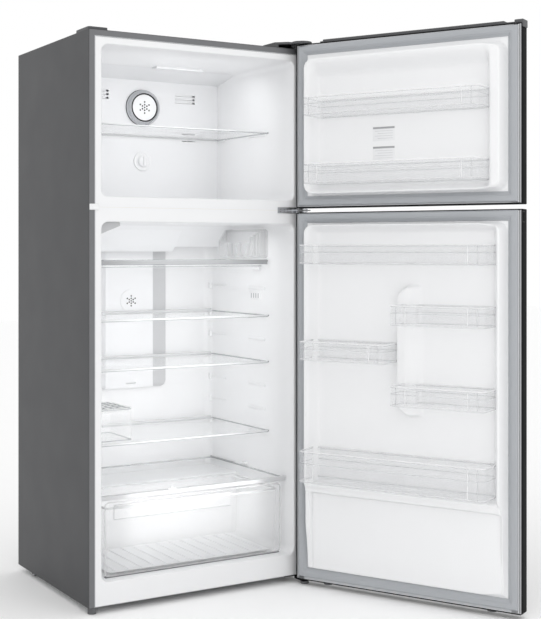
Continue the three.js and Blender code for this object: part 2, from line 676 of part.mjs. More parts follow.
function buildFreezerDoor() {
  const door = openDoor();
  const z = FREEZER_DOOR.block;
  const raised = (grow, depth) => pad(
    BLOCK.near - grow, BLOCK.far + grow, [z[0] - grow, z[1] + grow], depth, BLOCK.radius + grow,
  );
  const well = { near: 64, far: 646, z: [1252, 1656] };
  const hollow = (grow, depth) => pad(
    well.near - grow, well.far + grow, [well.z[0] - grow, well.z[1] + grow], 90, 20 + grow, depth,
  );
  piece(door, 'freezer_door_skin', doorSkin(FREEZER_DOOR), blackGlass);
  piece(door, 'freezer_door_foam', doorFoam(FREEZER_DOOR, raised, hollow), foam);
  piece(door, 'freezer_door_liner', doorLiner(FREEZER_DOOR, raised, hollow), whitePlastic);
  piece(door, 'freezer_door_gasket', gasket(FREEZER_DOOR), gasketRubber);
  const top = FREEZER_DOOR.top + GAP;
  const cap = join(
    block(across(62, 731), [DOOR.outer + 3, DOOR.rim - 8], [top, top + 2]),
    block(across(70, 675), [DOOR.outer + 6, DOOR.rim - 11], [top, top + 7]),
    block(across(712, 731), [DOOR.outer + 3, DOOR.rim - 8], [top, top + 7]),
  );
  piece(door, 'freezer_door_cap', cap, darkPlastic);
  doorBin(door, 'freezer_bin_upper', fullBin(66.5, 643.5), [1482, 1540]);
  doorBin(door, 'freezer_bin_lower', fullBin(66.5, 643.5), [1272, 1334]);
}

function buildFridgeDoor() {
  const door = openDoor();
  const [low, high] = FRESH_DOOR.block;
  const raised = (grow, depth) => {
    const upper = pad(
      BLOCK.near - grow, BLOCK.far + grow, [306 - grow, high + grow], depth, BLOCK.radius + grow,
    );
    const lower = pad(BLOCK.near - grow, BLOCK.far + grow, [low - grow, 380], depth - 9, 12 + grow);
    return join(upper, lower);
  };
  const spine = { near: 350, far: 405, z: [566, 960] };
  const hollow = (grow, depth) => {
    const main = join(
      pad(48 - grow, 665 + grow, [342 - grow, 700], 90, 8 + grow, depth),
      pad(48 - grow, 665 + grow, [500, 1132 + grow], 90, 22 + grow, depth),
    );
    const core = pad(
      spine.near + grow, spine.far - grow, [spine.z[0] + grow, spine.z[1] - grow],
      DOOR.dyke - 9 - grow, 24 - grow,
    );
    const panel = pad(46 - grow, 674 + grow, [low - 20, 303 + grow], 90, 8 + grow, 43 - grow);
    return join(cut(main, core), panel);
  };
  const skin = doorSkin(FRESH_DOOR);
  const gripCut = block(across(714, 740), [-6, 16], [1148, FRESH_DOOR.top - 6]);
  const below = FRESH_DOOR.bottom - 6;
  const bumpers = [87, 635].map((a) => rod('z', [-a, 2], 15, below, below + 7, 16));
  piece(door, 'fridge_door_skin', join(cut(skin, gripCut), ...bumpers), blackGlass);
  const gripRoom = block(across(708, 740), [-10, 20], [1142, FRESH_DOOR.top]);
  piece(door, 'fridge_door_foam', cut(doorFoam(FRESH_DOOR, raised, hollow), gripRoom), foam);
  const skirt = outline([[21, 62], [25, 62], [32, 100], [32, 105], [21, 105]]);
  const apron = extrude(skirt, 'x', -BLOCK.far + 1, -BLOCK.near - 1);
  const liner = join(doorLiner(FRESH_DOOR, raised, hollow), apron);
  piece(door, 'fridge_door_liner', liner, whitePlastic);
  piece(door, 'fridge_door_gasket', gasket(FRESH_DOOR), gasketRubber);
  const gripPocket = cut(
    block(across(712, 731.5), [-6 + GAP, 16 - GAP], [1148 + GAP, FRESH_DOOR.top - 6 - GAP]),
    block(across(715, 740), [-3, 13], [1151, FRESH_DOOR.top - 9]),
  );
  piece(door, 'fridge_door_grip', gripPocket, darkPlastic);

  doorBin(door, 'fridge_bin_top', fullBin(50.5, 662.5), [1024, 1084]);
  doorBin(door, 'fridge_bin_bottom', fullBin(50.5, 662.5), [350, 447]);
  doorBin(door, 'fridge_bin_left', fullBin(50.5, 346), [727, 786]);
  const rightPlan = [
    [409, BIN_BACK], [662.5, BIN_BACK], [662.5, BIN_FRONT - 10], [654.5, BIN_FRONT],
    [370, BIN_FRONT], [362, BIN_FRONT - 10], [362, DOOR.dyke - 8], [409, DOOR.dyke - 8],
  ];
  doorBin(door, 'fridge_bin_right_upper', rightPlan, [844, 904]);
  doorBin(door, 'fridge_bin_right_lower', rightPlan, [605, 665]);
}

buildShell();
buildRear();
buildTray();
buildRunningGear();
buildFoam();
buildLiners();
buildEvaporatorCover();
buildFreezerParts();
buildAirDucts();
buildLights();
buildShelves();
buildDrawer();
buildMachine();
buildHinges();
buildFreezerDoor();
buildFridgeDoor();

export default refrigerator;
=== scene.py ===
"""Looks for the top freezer refrigerator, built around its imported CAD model.

Lengths are in metres. Two local frames are used: the cabinet's own, with X = 0 at its middle
plane and Y = 0 at its front, and a door's own, which is drawn shut, with its origin on the hinge
axis, so that it reaches along -X and its inner side faces +Y.
"""
import json
import math

import bmesh
import bpy
from mathutils import Matrix, Vector


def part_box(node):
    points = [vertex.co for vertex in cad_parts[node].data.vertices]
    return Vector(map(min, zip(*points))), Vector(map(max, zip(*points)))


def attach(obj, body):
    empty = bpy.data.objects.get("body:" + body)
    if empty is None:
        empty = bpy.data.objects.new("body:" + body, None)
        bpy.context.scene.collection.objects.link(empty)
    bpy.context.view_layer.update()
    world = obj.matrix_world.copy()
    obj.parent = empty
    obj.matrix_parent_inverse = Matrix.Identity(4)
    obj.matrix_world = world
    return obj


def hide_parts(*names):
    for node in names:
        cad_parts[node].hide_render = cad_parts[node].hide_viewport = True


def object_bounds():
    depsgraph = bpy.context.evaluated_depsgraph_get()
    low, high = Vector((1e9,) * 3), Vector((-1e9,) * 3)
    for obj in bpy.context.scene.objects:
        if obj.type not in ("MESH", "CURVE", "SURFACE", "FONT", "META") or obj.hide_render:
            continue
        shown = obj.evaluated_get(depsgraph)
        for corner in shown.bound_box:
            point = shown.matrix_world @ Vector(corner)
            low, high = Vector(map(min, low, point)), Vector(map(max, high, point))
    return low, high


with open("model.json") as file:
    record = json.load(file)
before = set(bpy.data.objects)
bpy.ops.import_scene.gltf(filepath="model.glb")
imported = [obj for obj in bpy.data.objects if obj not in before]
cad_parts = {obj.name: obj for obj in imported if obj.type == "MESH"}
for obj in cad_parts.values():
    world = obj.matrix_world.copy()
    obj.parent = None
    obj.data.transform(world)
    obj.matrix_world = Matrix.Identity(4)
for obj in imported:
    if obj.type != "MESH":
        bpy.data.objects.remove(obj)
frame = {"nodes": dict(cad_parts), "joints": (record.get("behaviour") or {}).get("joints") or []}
REST_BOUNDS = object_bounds()
NODES = frame["nodes"]
JOINTS = {joint["name"]: joint for joint in frame["joints"]}

# ---- local frames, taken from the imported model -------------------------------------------
shell_low, shell_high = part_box("cabinet_shell")
CABINET = Matrix.Translation(((shell_low.x + shell_high.x) / 2, shell_low.y, 0))


def hinge_frame(joint_name):
    """The frame of a shut door, turned to where the door stands at rest."""
    joint = JOINTS[joint_name]
    opened = math.radians(-joint["range_deg"][0])
    x, y, _ = joint["pos_m"]
    return Matrix.Translation((x, y, 0)) @ Matrix.Rotation(opened, 4, "Z")


FREEZER_DOOR = hinge_frame("freezer_door_hinge")
FRIDGE_DOOR = hinge_frame("fridge_door_hinge")


def span(node, place):
    """Lowest and highest corner of a CAD node in a local frame."""
    inverse = place.inverted()
    points = [inverse @ vertex.co for vertex in NODES[node].data.vertices]
    low = Vector([min(point[i] for point in points) for i in range(3)])
    high = Vector([max(point[i] for point in points) for i in range(3)])
    return low, high


OPENING_HALF = 0.334            # half width of both compartments at the front
BACK = 0.545                    # their depth
DRAFT = 0.012 / BACK            # lean of their side walls, narrower at the back


# ---- materials ---------------------------------------------------------------------------
def shader(name):
    """A new material, its node tree and its main shader."""
    material = bpy.data.materials.new(name)
    material.use_nodes = True
    tree = material.node_tree
    return material, tree, tree.nodes["Principled BSDF"]


def feed(tree, node, inputs):
    """Sets a node's inputs: a value is stored, and another node's output is linked."""
    for name, value in inputs.items():
        if isinstance(value, bpy.types.NodeSocket):
            tree.links.new(value, node.inputs[name])
        else:
            node.inputs[name].default_value = value
    return node


def noise(tree, place, scale, detail):
    """A cloudy value from 0 to 1, with about this many clouds in a metre."""
    texture = tree.nodes.new("ShaderNodeTexNoise")
    feed(tree, texture, {"Vector": place, "Scale": scale, "Detail": detail})
    return texture.outputs["Fac"]


def between(tree, value, low, high):
    """Stretches a value from 0 to 1 to another range."""
    spread = tree.nodes.new("ShaderNodeMapRange")
    feed(tree, spread, {"Value": value, "To Min": low, "To Max": high})
    return spread.outputs["Result"]


def relief(tree, height, strength, distance):
    """A surface direction, raised a little where the height is large."""
    bump = tree.nodes.new("ShaderNodeBump")
    feed(tree, bump, {"Height": height, "Strength": strength, "Distance": distance})
    return bump.outputs["Normal"]


def finish(name, color, roughness, metallic=0.0, grain=None, tint=0.0, specular=0.5):
    """A plain finish whose roughness, tone and surface vary a little, as real ones do.

    grain is (size in metres, height in metres) of the surface texture.
    """
    material, tree, bsdf = shader(name)
    place = tree.nodes.new("ShaderNodeTexCoord").outputs["Object"]
    cloud = noise(tree, place, 9.0, 3.0)
    tone = tree.nodes.new("ShaderNodeMix")
    tone.data_type = "RGBA"
    feed(tree, tone, {
        "A": (*[channel * (1 - tint) for channel in color], 1),
        "B": (*[min(1, channel * (1 + tint)) for channel in color], 1),
        "Factor": cloud,
    })
    feed(tree, bsdf, {
        "Base Color": tone.outputs["Result"], "Metallic": metallic, "Specular IOR Level": specular,
        "Roughness": between(tree, cloud, roughness * 0.85, min(1.0, roughness * 1.15)),
    })
    if grain:
        size, height = grain
        speckle = noise(tree, place, 1 / size, 2.0)
        feed(tree, bsdf, {"Normal": relief(tree, speckle, 0.35, height)})
    return material


def clear(name, color, alpha, edge_alpha, roughness=0.08):
    """Clear plastic or glass: thin walls seen face on, and denser where seen at a slant."""
    material, tree, bsdf = shader(name)
    place = tree.nodes.new("ShaderNodeTexCoord").outputs["Object"]
    cloud = noise(tree, place, 14.0, 2.0)
    slant = feed(tree, tree.nodes.new("ShaderNodeLayerWeight"), {"Blend": 0.2})
    feed(tree, bsdf, {
        "Base Color": (*color, 1),
        "Roughness": between(tree, cloud, roughness * 0.8, roughness * 1.2),
        "Normal": relief(tree, cloud, 0.1, 0.0002),
        "Alpha": between(tree, slant.outputs["Facing"], alpha, edge_alpha),
    })
    return material


FINE = (0.0012, 0.00003)        # size and height of a moulded surface's grain
WHITE = finish("white_plastic", (0.83, 0.834, 0.842), 0.36, tint=0.01, grain=FINE)
WHITE_SOFT = finish("white_plastic_soft", (0.79, 0.795, 0.806), 0.48, tint=0.01, grain=FINE)
SILVER = finish("silver_trim", (0.5, 0.51, 0.525), 0.38, metallic=0.3, tint=0.02, grain=FINE)
TRIM = finish("grey_trim", (0.4, 0.404, 0.415), 0.4, tint=0.02, grain=FINE)
PALE = finish("pale_grey_plastic", (0.54, 0.545, 0.556), 0.42, tint=0.015, grain=FINE)
SHELF_TRIM = finish("shelf_trim_plastic", (0.64, 0.646, 0.656), 0.35, tint=0.01, grain=FINE)
BAND = finish("band_grey_plastic", (0.34, 0.345, 0.354), 0.42, tint=0.02, grain=FINE)
SLATE = finish("slate_plastic", (0.12, 0.122, 0.128), 0.45, tint=0.03, grain=FINE)
STEEL = finish("painted_steel", (0.056, 0.0573, 0.0605), 0.42, metallic=0.15, tint=0.04, specular=0.22,
               grain=(0.0009, 0.00006))
# The front flange's steel is a lighter copy of the shell's paint, painted light for the fold that faces
# forward.
FLANGE_LIT = finish("flange_steel_lit", (0.17, 0.173, 0.18), 0.42, metallic=0.3, tint=0.03, grain=FINE)
ZINC = finish("zinc_steel", (0.5, 0.51, 0.52), 0.38, metallic=0.85, tint=0.08, grain=(0.004, 0.00005))
CHROME = finish("chrome", (0.6, 0.61, 0.63), 0.16, metallic=1.0, tint=0.02, grain=FINE)
ALUMINIUM = finish("aluminium", (0.66, 0.67, 0.68), 0.34, metallic=0.9, tint=0.03, grain=FINE)
BLACK_GLOSS = finish("black_gloss", (0.005, 0.0053, 0.006), 0.45, tint=0.05, specular=0.02, grain=FINE)
BLACK = finish("black_plastic", (0.01, 0.01, 0.011), 0.42, tint=0.06, specular=0.08,
               grain=(0.0008, 0.00004))
CHARCOAL = finish("charcoal_plastic", (0.09, 0.0918, 0.096), 0.48, tint=0.05, specular=0.3,
                  grain=(0.0008, 0.00004))
GASKET = finish("gasket_rubber", (0.38, 0.395, 0.415), 0.5, tint=0.02, grain=(0.002, 0.00003))
FOAM = finish("foam", (0.75, 0.66, 0.42), 0.9, tint=0.08, grain=(0.003, 0.0005))
CLEAR = clear("clear_plastic", (0.94, 0.945, 0.95), 0.04, 0.26)
CLEAR_EDGE = clear("clear_plastic_edge", (0.62, 0.63, 0.645), 0.26, 0.62)
CLEAR_RIM = clear("clear_plastic_rim", (0.74, 0.745, 0.752), 0.45, 0.8)
BIN = clear("clear_bin", (0.76, 0.768, 0.782), 0.07, 0.3)
# A painted highlight for the bins' rims and rounded ends.
BIN_HIGHLIGHT = clear("clear_bin_highlight", (0.93, 0.935, 0.94), 0.4, 0.75)
FROSTED = clear("frosted_plastic", (0.82, 0.825, 0.835), 0.14, 0.42, roughness=0.25)
GLASS = clear("shelf_glass", (0.86, 0.88, 0.885), 0.03, 0.26, roughness=0.03)
GLASS_EDGE = clear("shelf_glass_edge", (0.36, 0.38, 0.385), 0.5, 0.85, roughness=0.1)
SEE_THROUGH = (CLEAR, BIN, FROSTED, GLASS)       # pieces mostly of these cast no shadow


# ---- mesh building -----------------------------------------------------------------------
def rounded_outline(corners, radius, steps=5):
    """A closed outline with its corners rounded; a corner may give its own radius as a third value."""
    points = []
    count = len(corners)
    for i, corner in enumerate(corners):
        own = corner[2] if len(corner) > 2 else radius
        here = Vector(corner[:2])
        before = Vector(corners[i - 1][:2])
        after = Vector(corners[(i + 1) % count][:2])
        back, ahead = (before - here), (after - here)
        angle = back.angle(ahead)
        if own <= 0 or abs(angle - math.pi) < 1e-4:
            points.append(here)
            continue
        reach = min(own / math.tan(angle / 2), back.length * 0.49, ahead.length * 0.49)
        own = reach * math.tan(angle / 2)
        toward = (back.normalized() + ahead.normalized()).normalized()
        middle = here + toward * own / math.sin(angle / 2)
        first = here + back.normalized() * reach - middle
        last = here + ahead.normalized() * reach - middle
        turn = math.copysign(math.pi - angle, first.x * last.y - first.y * last.x)
        for step in range(steps + 1):
            sweep = turn * step / steps
            points.append(middle + Vector((
                first.x * math.cos(sweep) - first.y * math.sin(sweep),
                first.x * math.sin(sweep) + first.y * math.cos(sweep),
            )))
    return points


def rectangle(u, v, radius=0.0, steps=5):
    """The outline of a rectangle with rounded corners."""
    corners = [(u[0], v[0]), (u[1], v[0]), (u[1], v[1]), (u[0], v[1])]
    return rounded_outline(corners, radius, steps)


def offset_outline(points, distance):
    """A counter-clockwise outline moved outwards by a distance, or inwards if it is negative."""
    moved = []
    count = len(points)
    for i, point in enumerate(points):
        before = (point - points[i - 1]).normalized()
        after = (points[(i + 1) % count] - point).normalized()
        normal_a, normal_b = Vector((before.y, -before.x)), Vector((after.y, -after.x))
        moved.append(point + (normal_a + normal_b) * distance / (1 + normal_a.dot(normal_b)))
    return moved


AXES = {
    "x": lambda u, v, w: (w, u, v),
    "y": lambda u, v, w: (v, w, u),
    "z": lambda u, v, w: (u, v, w),
}


class Shape:
    """A mesh being built in one local frame, from several parts.

    A part is in the mesh's base material unless it is given another.
    """

    def __init__(self, base):
        self.mesh = bmesh.new()
        self.materials = [base]

    def index(self, material):
        """The number of a material in this mesh, which takes it up if it is new."""
        if material not in self.materials:
            self.materials.append(material)
        return self.materials.index(material)

    def take(self, part, material=None):
        """Adds a finished part, with its faces turned outwards."""
        index = self.index(material or self.materials[0])
        for face in part.faces:
            face.material_index = index
        bmesh.ops.recalc_face_normals(part, faces=part.faces)
        data = bpy.data.meshes.new("part")
        part.to_mesh(data)
        part.free()
        self.mesh.from_mesh(data)
        bpy.data.meshes.remove(data)
        return self

    def block(self, x, y, z, radius=0.0015, segments=2, material=None):
        """A box with rounded edges."""
        part = bmesh.new()
        corners = [part.verts.new((i, j, k)) for i in x for j in y for k in z]
        for quad in ((0, 1, 3, 2), (4, 6, 7, 5), (0, 4, 5, 1),
                     (2, 3, 7, 6), (0, 2, 6, 4), (1, 5, 7, 3)):
            part.faces.new([corners[i] for i in quad])
        limit = min(x[1] - x[0], y[1] - y[0], z[1] - z[0]) * 0.48
        bmesh.ops.bevel(part, geom=part.edges[:], offset=min(radius, limit), segments=segments,
                        profile=0.5, affect="EDGES")
        return self.take(part, material)

    def loft(self, rings, material=None, cap_start=True, closed=False):
        """A skin through rings of equal length, capped, or closed from the last to the first."""
        part = bmesh.new()
        made = [[part.verts.new(point) for point in ring] for ring in rings]
        pairs = list(zip(made, made[1:]))
        if closed:
            pairs.append((made[-1], made[0]))
        count = len(rings[0])
        for near, far in pairs:
            for i in range(count):
                j = (i + 1) % count
                part.faces.new((near[i], near[j], far[j], far[i]))
        if cap_start and not closed:
            part.faces.new(made[0])
        if not closed:
            part.faces.new(made[-1])
        return self.take(part, material)

    def prism(self, outline, axis, start, end, edge=0.0, material=None):
        """An outline pushed along an axis, with its two ends' edges rounded."""
        levels = [(start, 0.0), (end, 0.0)]
        if edge > 0:
            curve = [(edge * (1 - math.cos(turn)), edge * (1 - math.sin(turn)))
                     for turn in (0, math.pi / 4, math.pi / 2)]
            levels = [(start + rise, -inward) for rise, inward in curve]
            levels += [(end - rise, -inward) for rise, inward in reversed(curve)]
        rings = []
        for height, inward in levels:
            flat = offset_outline(outline, inward) if inward else outline
            rings.append([AXES[axis](point.x, point.y, height) for point in flat])
        return self.loft(rings, material)

    def turned(self, profile, axis, centre, sides=40, material=None):
        """A closed or axis-ended profile of (radius, height) turned about an axis."""
        part = bmesh.new()
        rings = []
        for radius, height in profile:
            if radius < 1e-6:
                rings.append([part.verts.new(AXES[axis](centre[0], centre[1], height))])
                continue
            rings.append([part.verts.new(AXES[axis](
                centre[0] + radius * math.cos(2 * math.pi * i / sides),
                centre[1] + radius * math.sin(2 * math.pi * i / sides), height,
            )) for i in range(sides)])
        for near, far in zip(rings, rings[1:]):
            for i in range(sides):
                j = (i + 1) % sides
                corners = [near[i % len(near)], near[j % len(near)],
                           far[j % len(far)], far[i % len(far)]]
                unique = list(dict.fromkeys(corners))
                if len(unique) > 2:
                    part.faces.new(unique)
        return self.take(part, material)

    def peg(self, centre, radius, ends, axis="y", sides=10, material=None):
        """A short round rod between two heights on its axis."""
        start, end = ends
        profile = [(0.0, start), (radius, start), (radius, end), (0.0, end)]
        return self.turned(profile, axis, centre, sides, material)

    def surround(self, profile, x, z, material=None):
        """A mitred frame: profile points are (inset, depth) round the rectangle x by z."""
        rings = []
        for right, up in ((0, 0), (1, 0), (1, 1), (0, 1)):
            rings.append([(x[right] + (1 - 2 * right) * inset, depth, z[up] + (1 - 2 * up) * inset)
                          for inset, depth in profile])
        return self.loft(rings, material, closed=True)

    def grid(self, xs, zs, depth):
        """A sheet whose depth at each (x, z) is given by a function."""
        part = bmesh.new()
        rows = [[part.verts.new((x, depth(x, z), z)) for x in xs] for z in zs]
        for low, high in zip(rows, rows[1:]):
            for i in range(len(xs) - 1):
                part.faces.new((low[i], low[i + 1], high[i + 1], high[i]))
        return self.take(part)

    def plate(self, outline, bottom, top, cut):
        """A flat pane whose cut edges have a material of their own."""
        first = len(self.mesh.faces)
        self.prism(outline, "z", bottom, top, edge=0.0004)
        self.mesh.faces.ensure_lookup_table()
        for polygon in self.mesh.faces[first:]:
            polygon.normal_update()
            if abs(polygon.normal.z) < 0.9:
                polygon.material_index = self.index(cut)
        return self

    def walls(self, outline, levels, material=None, closed=False):
        """A skin through an outline moved outwards by a distance at each height."""
        rings = []
        for height, out in levels:
            rings.append([(point.x, point.y, height) for point in offset_outline(outline, out)])
        return self.loft(rings, material, closed=closed)

    def band(self, outline, z, out, inward, material=None):
        """A square-edged band round an outline, between two distances from it."""
        levels = [(z[0], out), (z[1], out), (z[1], inward), (z[0], inward)]
        return self.walls(outline, levels, material, closed=True)

    def lean(self):
        """Narrows the mesh towards the back, as the compartments' side walls do."""
        for vertex in self.mesh.verts:
            vertex.co.x *= 1 - DRAFT * vertex.co.y / OPENING_HALF
        return self

    def piece(self, name, place=CABINET, body="cabinet", replaces=(), slot=None, smooth=40):
        """Turns the mesh into a named piece on a CAD body."""
        data = bpy.data.meshes.new(name)
        self.mesh.to_mesh(data)
        self.mesh.free()
        data.transform(place)
        for material in self.materials:
            data.materials.append(material)
        data.shade_smooth()
        data.set_sharp_from_angle(angle=math.radians(smooth))
        made = bpy.data.objects.new(name, data)
        made.visible_shadow = self.materials[0] not in SEE_THROUGH
        bpy.context.scene.collection.objects.link(made)
        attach(made, body)
        if replaces:
            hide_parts(*replaces)
        return made


def dress(node, material, edge=0.0, segments=2):
    """Gives a CAD node its material, and rounds its sharp edges."""
    piece = NODES[node]
    piece.data.materials.clear()
    piece.data.materials.append(material)
    for polygon in piece.data.polygons:
        polygon.use_smooth = True
    piece.data.set_sharp_from_angle(angle=math.radians(35))
    if edge > 0:
        bevel = piece.modifiers.new("edge", "BEVEL")
        bevel.width = edge
        bevel.segments = segments
        bevel.limit_method = "ANGLE"
        bevel.angle_limit = math.radians(40)
    return piece


def smooth_step(low, high, value):
    """0 up to low and 1 from high on, with an even S between them."""
    t = min(1.0, max(0.0, (value - low) / (high - low)))
    return t * t * (3 - 2 * t)


def outside(x, z, rect, radius):
    """Signed distance from a rounded rectangle ((x0, x1), (z0, z1)), negative inside it."""
    (x0, x1), (z0, z1) = rect
    qx = abs(x - (x0 + x1) / 2) - (x1 - x0) / 2 + radius
    qz = abs(z - (z0 + z1) / 2) - (z1 - z0) / 2 + radius
    return math.hypot(max(qx, 0), max(qz, 0)) + min(max(qx, qz), 0) - radius


def spaced(start, end, step):
    """Evenly spaced values from start to end, about a step apart."""
    count = max(1, round((end - start) / step))
    return [start + (end - start) * i / count for i in range(count + 1)]


def gridlines(start, end, step, fine_spots, fine_step):
    """Evenly spaced values with more of them inside the given spots."""
    values = spaced(start, end, step)
    for low, high in fine_spots:
        values = [value for value in values if not low < value < high]
        values += spaced(low, high, fine_step)
    return sorted({round(value, 6) for value in values if start <= value <= end})


def blend(*walls):
    """Joins the rises of several walls, each from 0 at the floor to 1 at the crest."""
    left = 1.0
    for wall in walls:
        left *= 1 - wall
    return 1 - left


def segment_distance(x, z, start, end):
    """How far a point is from a straight stretch between two others."""
    along = Vector((end[0] - start[0], end[1] - start[1]))
    to_point = Vector((x - start[0], z - start[1]))
    share = min(1.0, max(0.0, to_point.dot(along) / along.length_squared))
    return (to_point - along * share).length


# ---- doors -------------------------------------------------------------------------------
# On a door, a distance from the hinge axis is -x; depth is y, from the outer face inwards.
OUTER_FACE = -0.028     # front of the painted case
JOINT = OUTER_FACE + 0.0475     # where the black case meets the silver strips
RIM = 0.022             # plane that the gasket sits on
FLOOR = RIM + 0.0005    # floor of the recess in a door's inner panel
DYKE = 0.059            # raised border round that recess
GASKET_WIDTH = 0.03
CASE_LAP = 0.0023       # how far a door's case stands out past its CAD liner
SHOULDER = (-0.690, -0.0245)    # outer edges of the raised border, far side first


def door_case(door, place):
    """The outer case: a glossy black front, silver side strips and black ends."""
    low, high = span(f"{door}_liner", place)
    x = (low.x - CASE_LAP + 0.0015, high.x + CASE_LAP)
    bottom, top = low.z - CASE_LAP, high.z + CASE_LAP
    front = Shape(BLACK_GLOSS)
    front.prism(rectangle(x, (OUTER_FACE, JOINT), 0.0055), "z", bottom, top, edge=0.002)
    if door == "fridge_door":
        bumper = [(0.0, -0.006), (0.0135, -0.006), (0.015, -0.0045), (0.015, 0.001), (0.0, 0.001)]
        profile = [(radius, bottom + height) for radius, height in bumper]
        for reach in (0.087, 0.635):
            front.turned(profile, "z", (-reach, 0.002), sides=24, material=SLATE)
    front.piece(f"{door}_front", place, door, replaces=[f"{door}_skin"], slot="door_steel")

    inside = Shape(SILVER)
    for near, far in ((x[0] + 0.0006, x[0] + 0.03), (x[1] - 0.03, x[1] - 0.0006)):
        inside.block((near, far), (RIM - 0.0022, RIM), (bottom + 0.003, top - 0.003), 0.0008)
    for z in ((bottom + 0.0004, bottom + 0.0045), (top - 0.0045, top - 0.0004)):
        inside.block((x[0] + 0.0012, x[1] - 0.0012), (JOINT + 0.0003, RIM + 0.0002), z, 0.0008,
                     material=BLACK)
    inner = GASKET_WIDTH + 0.004
    profile = [(0.003, RIM - 0.004), (0.003, RIM), (inner, RIM), (inner, RIM - 0.004)]
    inside.surround(profile, x, (bottom, top))
    inside.block((x[1] - 0.0042, x[1] - 0.0003), (RIM - 0.004, RIM + 0.0005),
                 (bottom + 0.002, top - 0.002), 0.0006, material=BLACK)
    for near, far, proud, radius, material in (
        (0.0036, 0.0048, 0.0003, 0.0003, SLATE), (0.0059, 0.0095, 0.0011, 0.0007, SHELF_TRIM),
    ):
        inside.block((x[0] + near, x[0] + far), (RIM - 0.001, RIM + proud),
                     (bottom + 0.005, top - 0.005), radius, material=material)
    inside.piece(f"{door}_frame", place, door, slot="door_steel")


def door_gasket(door, place):
    """The magnetic gasket, with a soft outer lip, a groove and a flat inner lip."""
    low, high = span(f"{door}_gasket", place)
    base, face = low.y, high.y
    profile = [
        (0.0, base), (0.0, base + 0.004), (0.0015, base + 0.0075), (0.004, face - 0.0006),
        (0.009, face), (0.0155, face), (0.0175, face - 0.0012), (0.019, face - 0.0006),
        (0.0215, face - 0.0022), (0.0235, base + 0.0055), (0.0262, base + 0.004),
        (GASKET_WIDTH, base + 0.0016), (GASKET_WIDTH, base),
    ]
    seal = Shape(GASKET).surround(profile, (low.x, high.x), (low.z, high.z))
    seal.piece(f"{door}_seal", place, door, replaces=[f"{door}_gasket"], slot="gasket_rubber",
               smooth=25)


def shoulder_rise(x, z, heights, radius):
    """0 outside the raised border and 1 on it; the slope is soft at the far side only."""
    slope = 0.005 + 0.012 * smooth_step(0.6, 0.69, -x)
    return 1 - smooth_step(-slope, 0.001, outside(x, z, (SHOULDER, heights), radius))


def freezer_depth(x, z):
    """Depth of the freezer door's inner panel: one recess inside a raised border."""
    reach = -x
    well = blend(
        smooth_step(0.07, 0.036, reach), smooth_step(0.630, 0.650, reach),
        smooth_step(1.607, 1.666, z), smooth_step(1.268, 1.246, z),
    )
    level = FLOOR + (DYKE - FLOOR) * well
    return RIM + (level - RIM) * shoulder_rise(x, z, (1.2405, 1.6735), 0.032)


def fridge_depth(x, z):
    """Depth of the fridge door's inner panel: a recess with a spine, over a plain lower panel."""
    reach = -x
    crest = DYKE - 0.009 * smooth_step(0.338, 0.312, z)
    well = blend(
        smooth_step(0.068, 0.036, reach), smooth_step(0.648, 0.672, reach),
        smooth_step(1.122, 1.148, z), smooth_step(0.346, 0.328, z),
    )
    spine_edge = outside(x, z, ((-0.46, -0.344), (0.566, 0.96)), 0.045)
    spine = smooth_step(0.001, -0.005, spine_edge) * smooth_step(0.428, 0.372, reach)
    upper = FLOOR + (crest - FLOOR) * max(well, 0.75 * spine)

    panel_edge = outside(x, z, ((-0.676, -0.046), (0.0, 0.303)), 0.008)
    groove = smooth_step(0.0035, 0.0005, abs(panel_edge))
    lower = 0.031 + 0.005 * smooth_step(0.06, 0.125, z) - 0.003 * groove
    lower += 0.012 * smooth_step(0.11, 0.22, z) * smooth_step(-0.002, 0.002, panel_edge)

    level = lower + (upper - lower) * smooth_step(0.304, 0.312, z)
    crease = segment_distance(reach, z, (0.663, 0.342), (0.684, 0.307))
    level -= 0.005 * smooth_step(0.004, 0.0, crease)
    corner = 0.006 + 0.024 * smooth_step(0.3, 0.6, z)
    return RIM + (level - RIM) * shoulder_rise(x, z, (0.0585, 1.1505), corner)


def inner_panel(door, place, depth, fine_x, fine_z):
    """The moulded inner panel, a sheet with the given depths, up to under the gasket."""
    low, high = span(f"{door}_gasket", place)
    inset = GASKET_WIDTH - 0.004
    coarse, fine = 0.004, 0.0014
    xs = gridlines(low.x + inset, high.x - inset, coarse, fine_x, fine)
    zs = gridlines(low.z + inset, high.z - inset, coarse, fine_z, fine)
    made = Shape(WHITE).grid(xs, zs, depth).piece(
        f"{door}_inner_panel", place, door,
        replaces=[f"{door}_liner", f"{door}_foam"], slot="white_plastic", smooth=180,
    )
    thickness = made.modifiers.new("thickness", "SOLIDIFY")
    thickness.thickness = 0.0015
    thickness.offset = -1


BIN_WALL = 0.0024
BIN_CLEARANCE = 0.0012          # behind a bin, so that it slides over the stickers
BIN_CHAMFER = 0.01              # cut off the front corners, which are rounded too
SPINE_SIDE = -0.409             # where a stepped bin's floor rises over the middle spine
SPINE_DEPTH = DYKE - 0.008


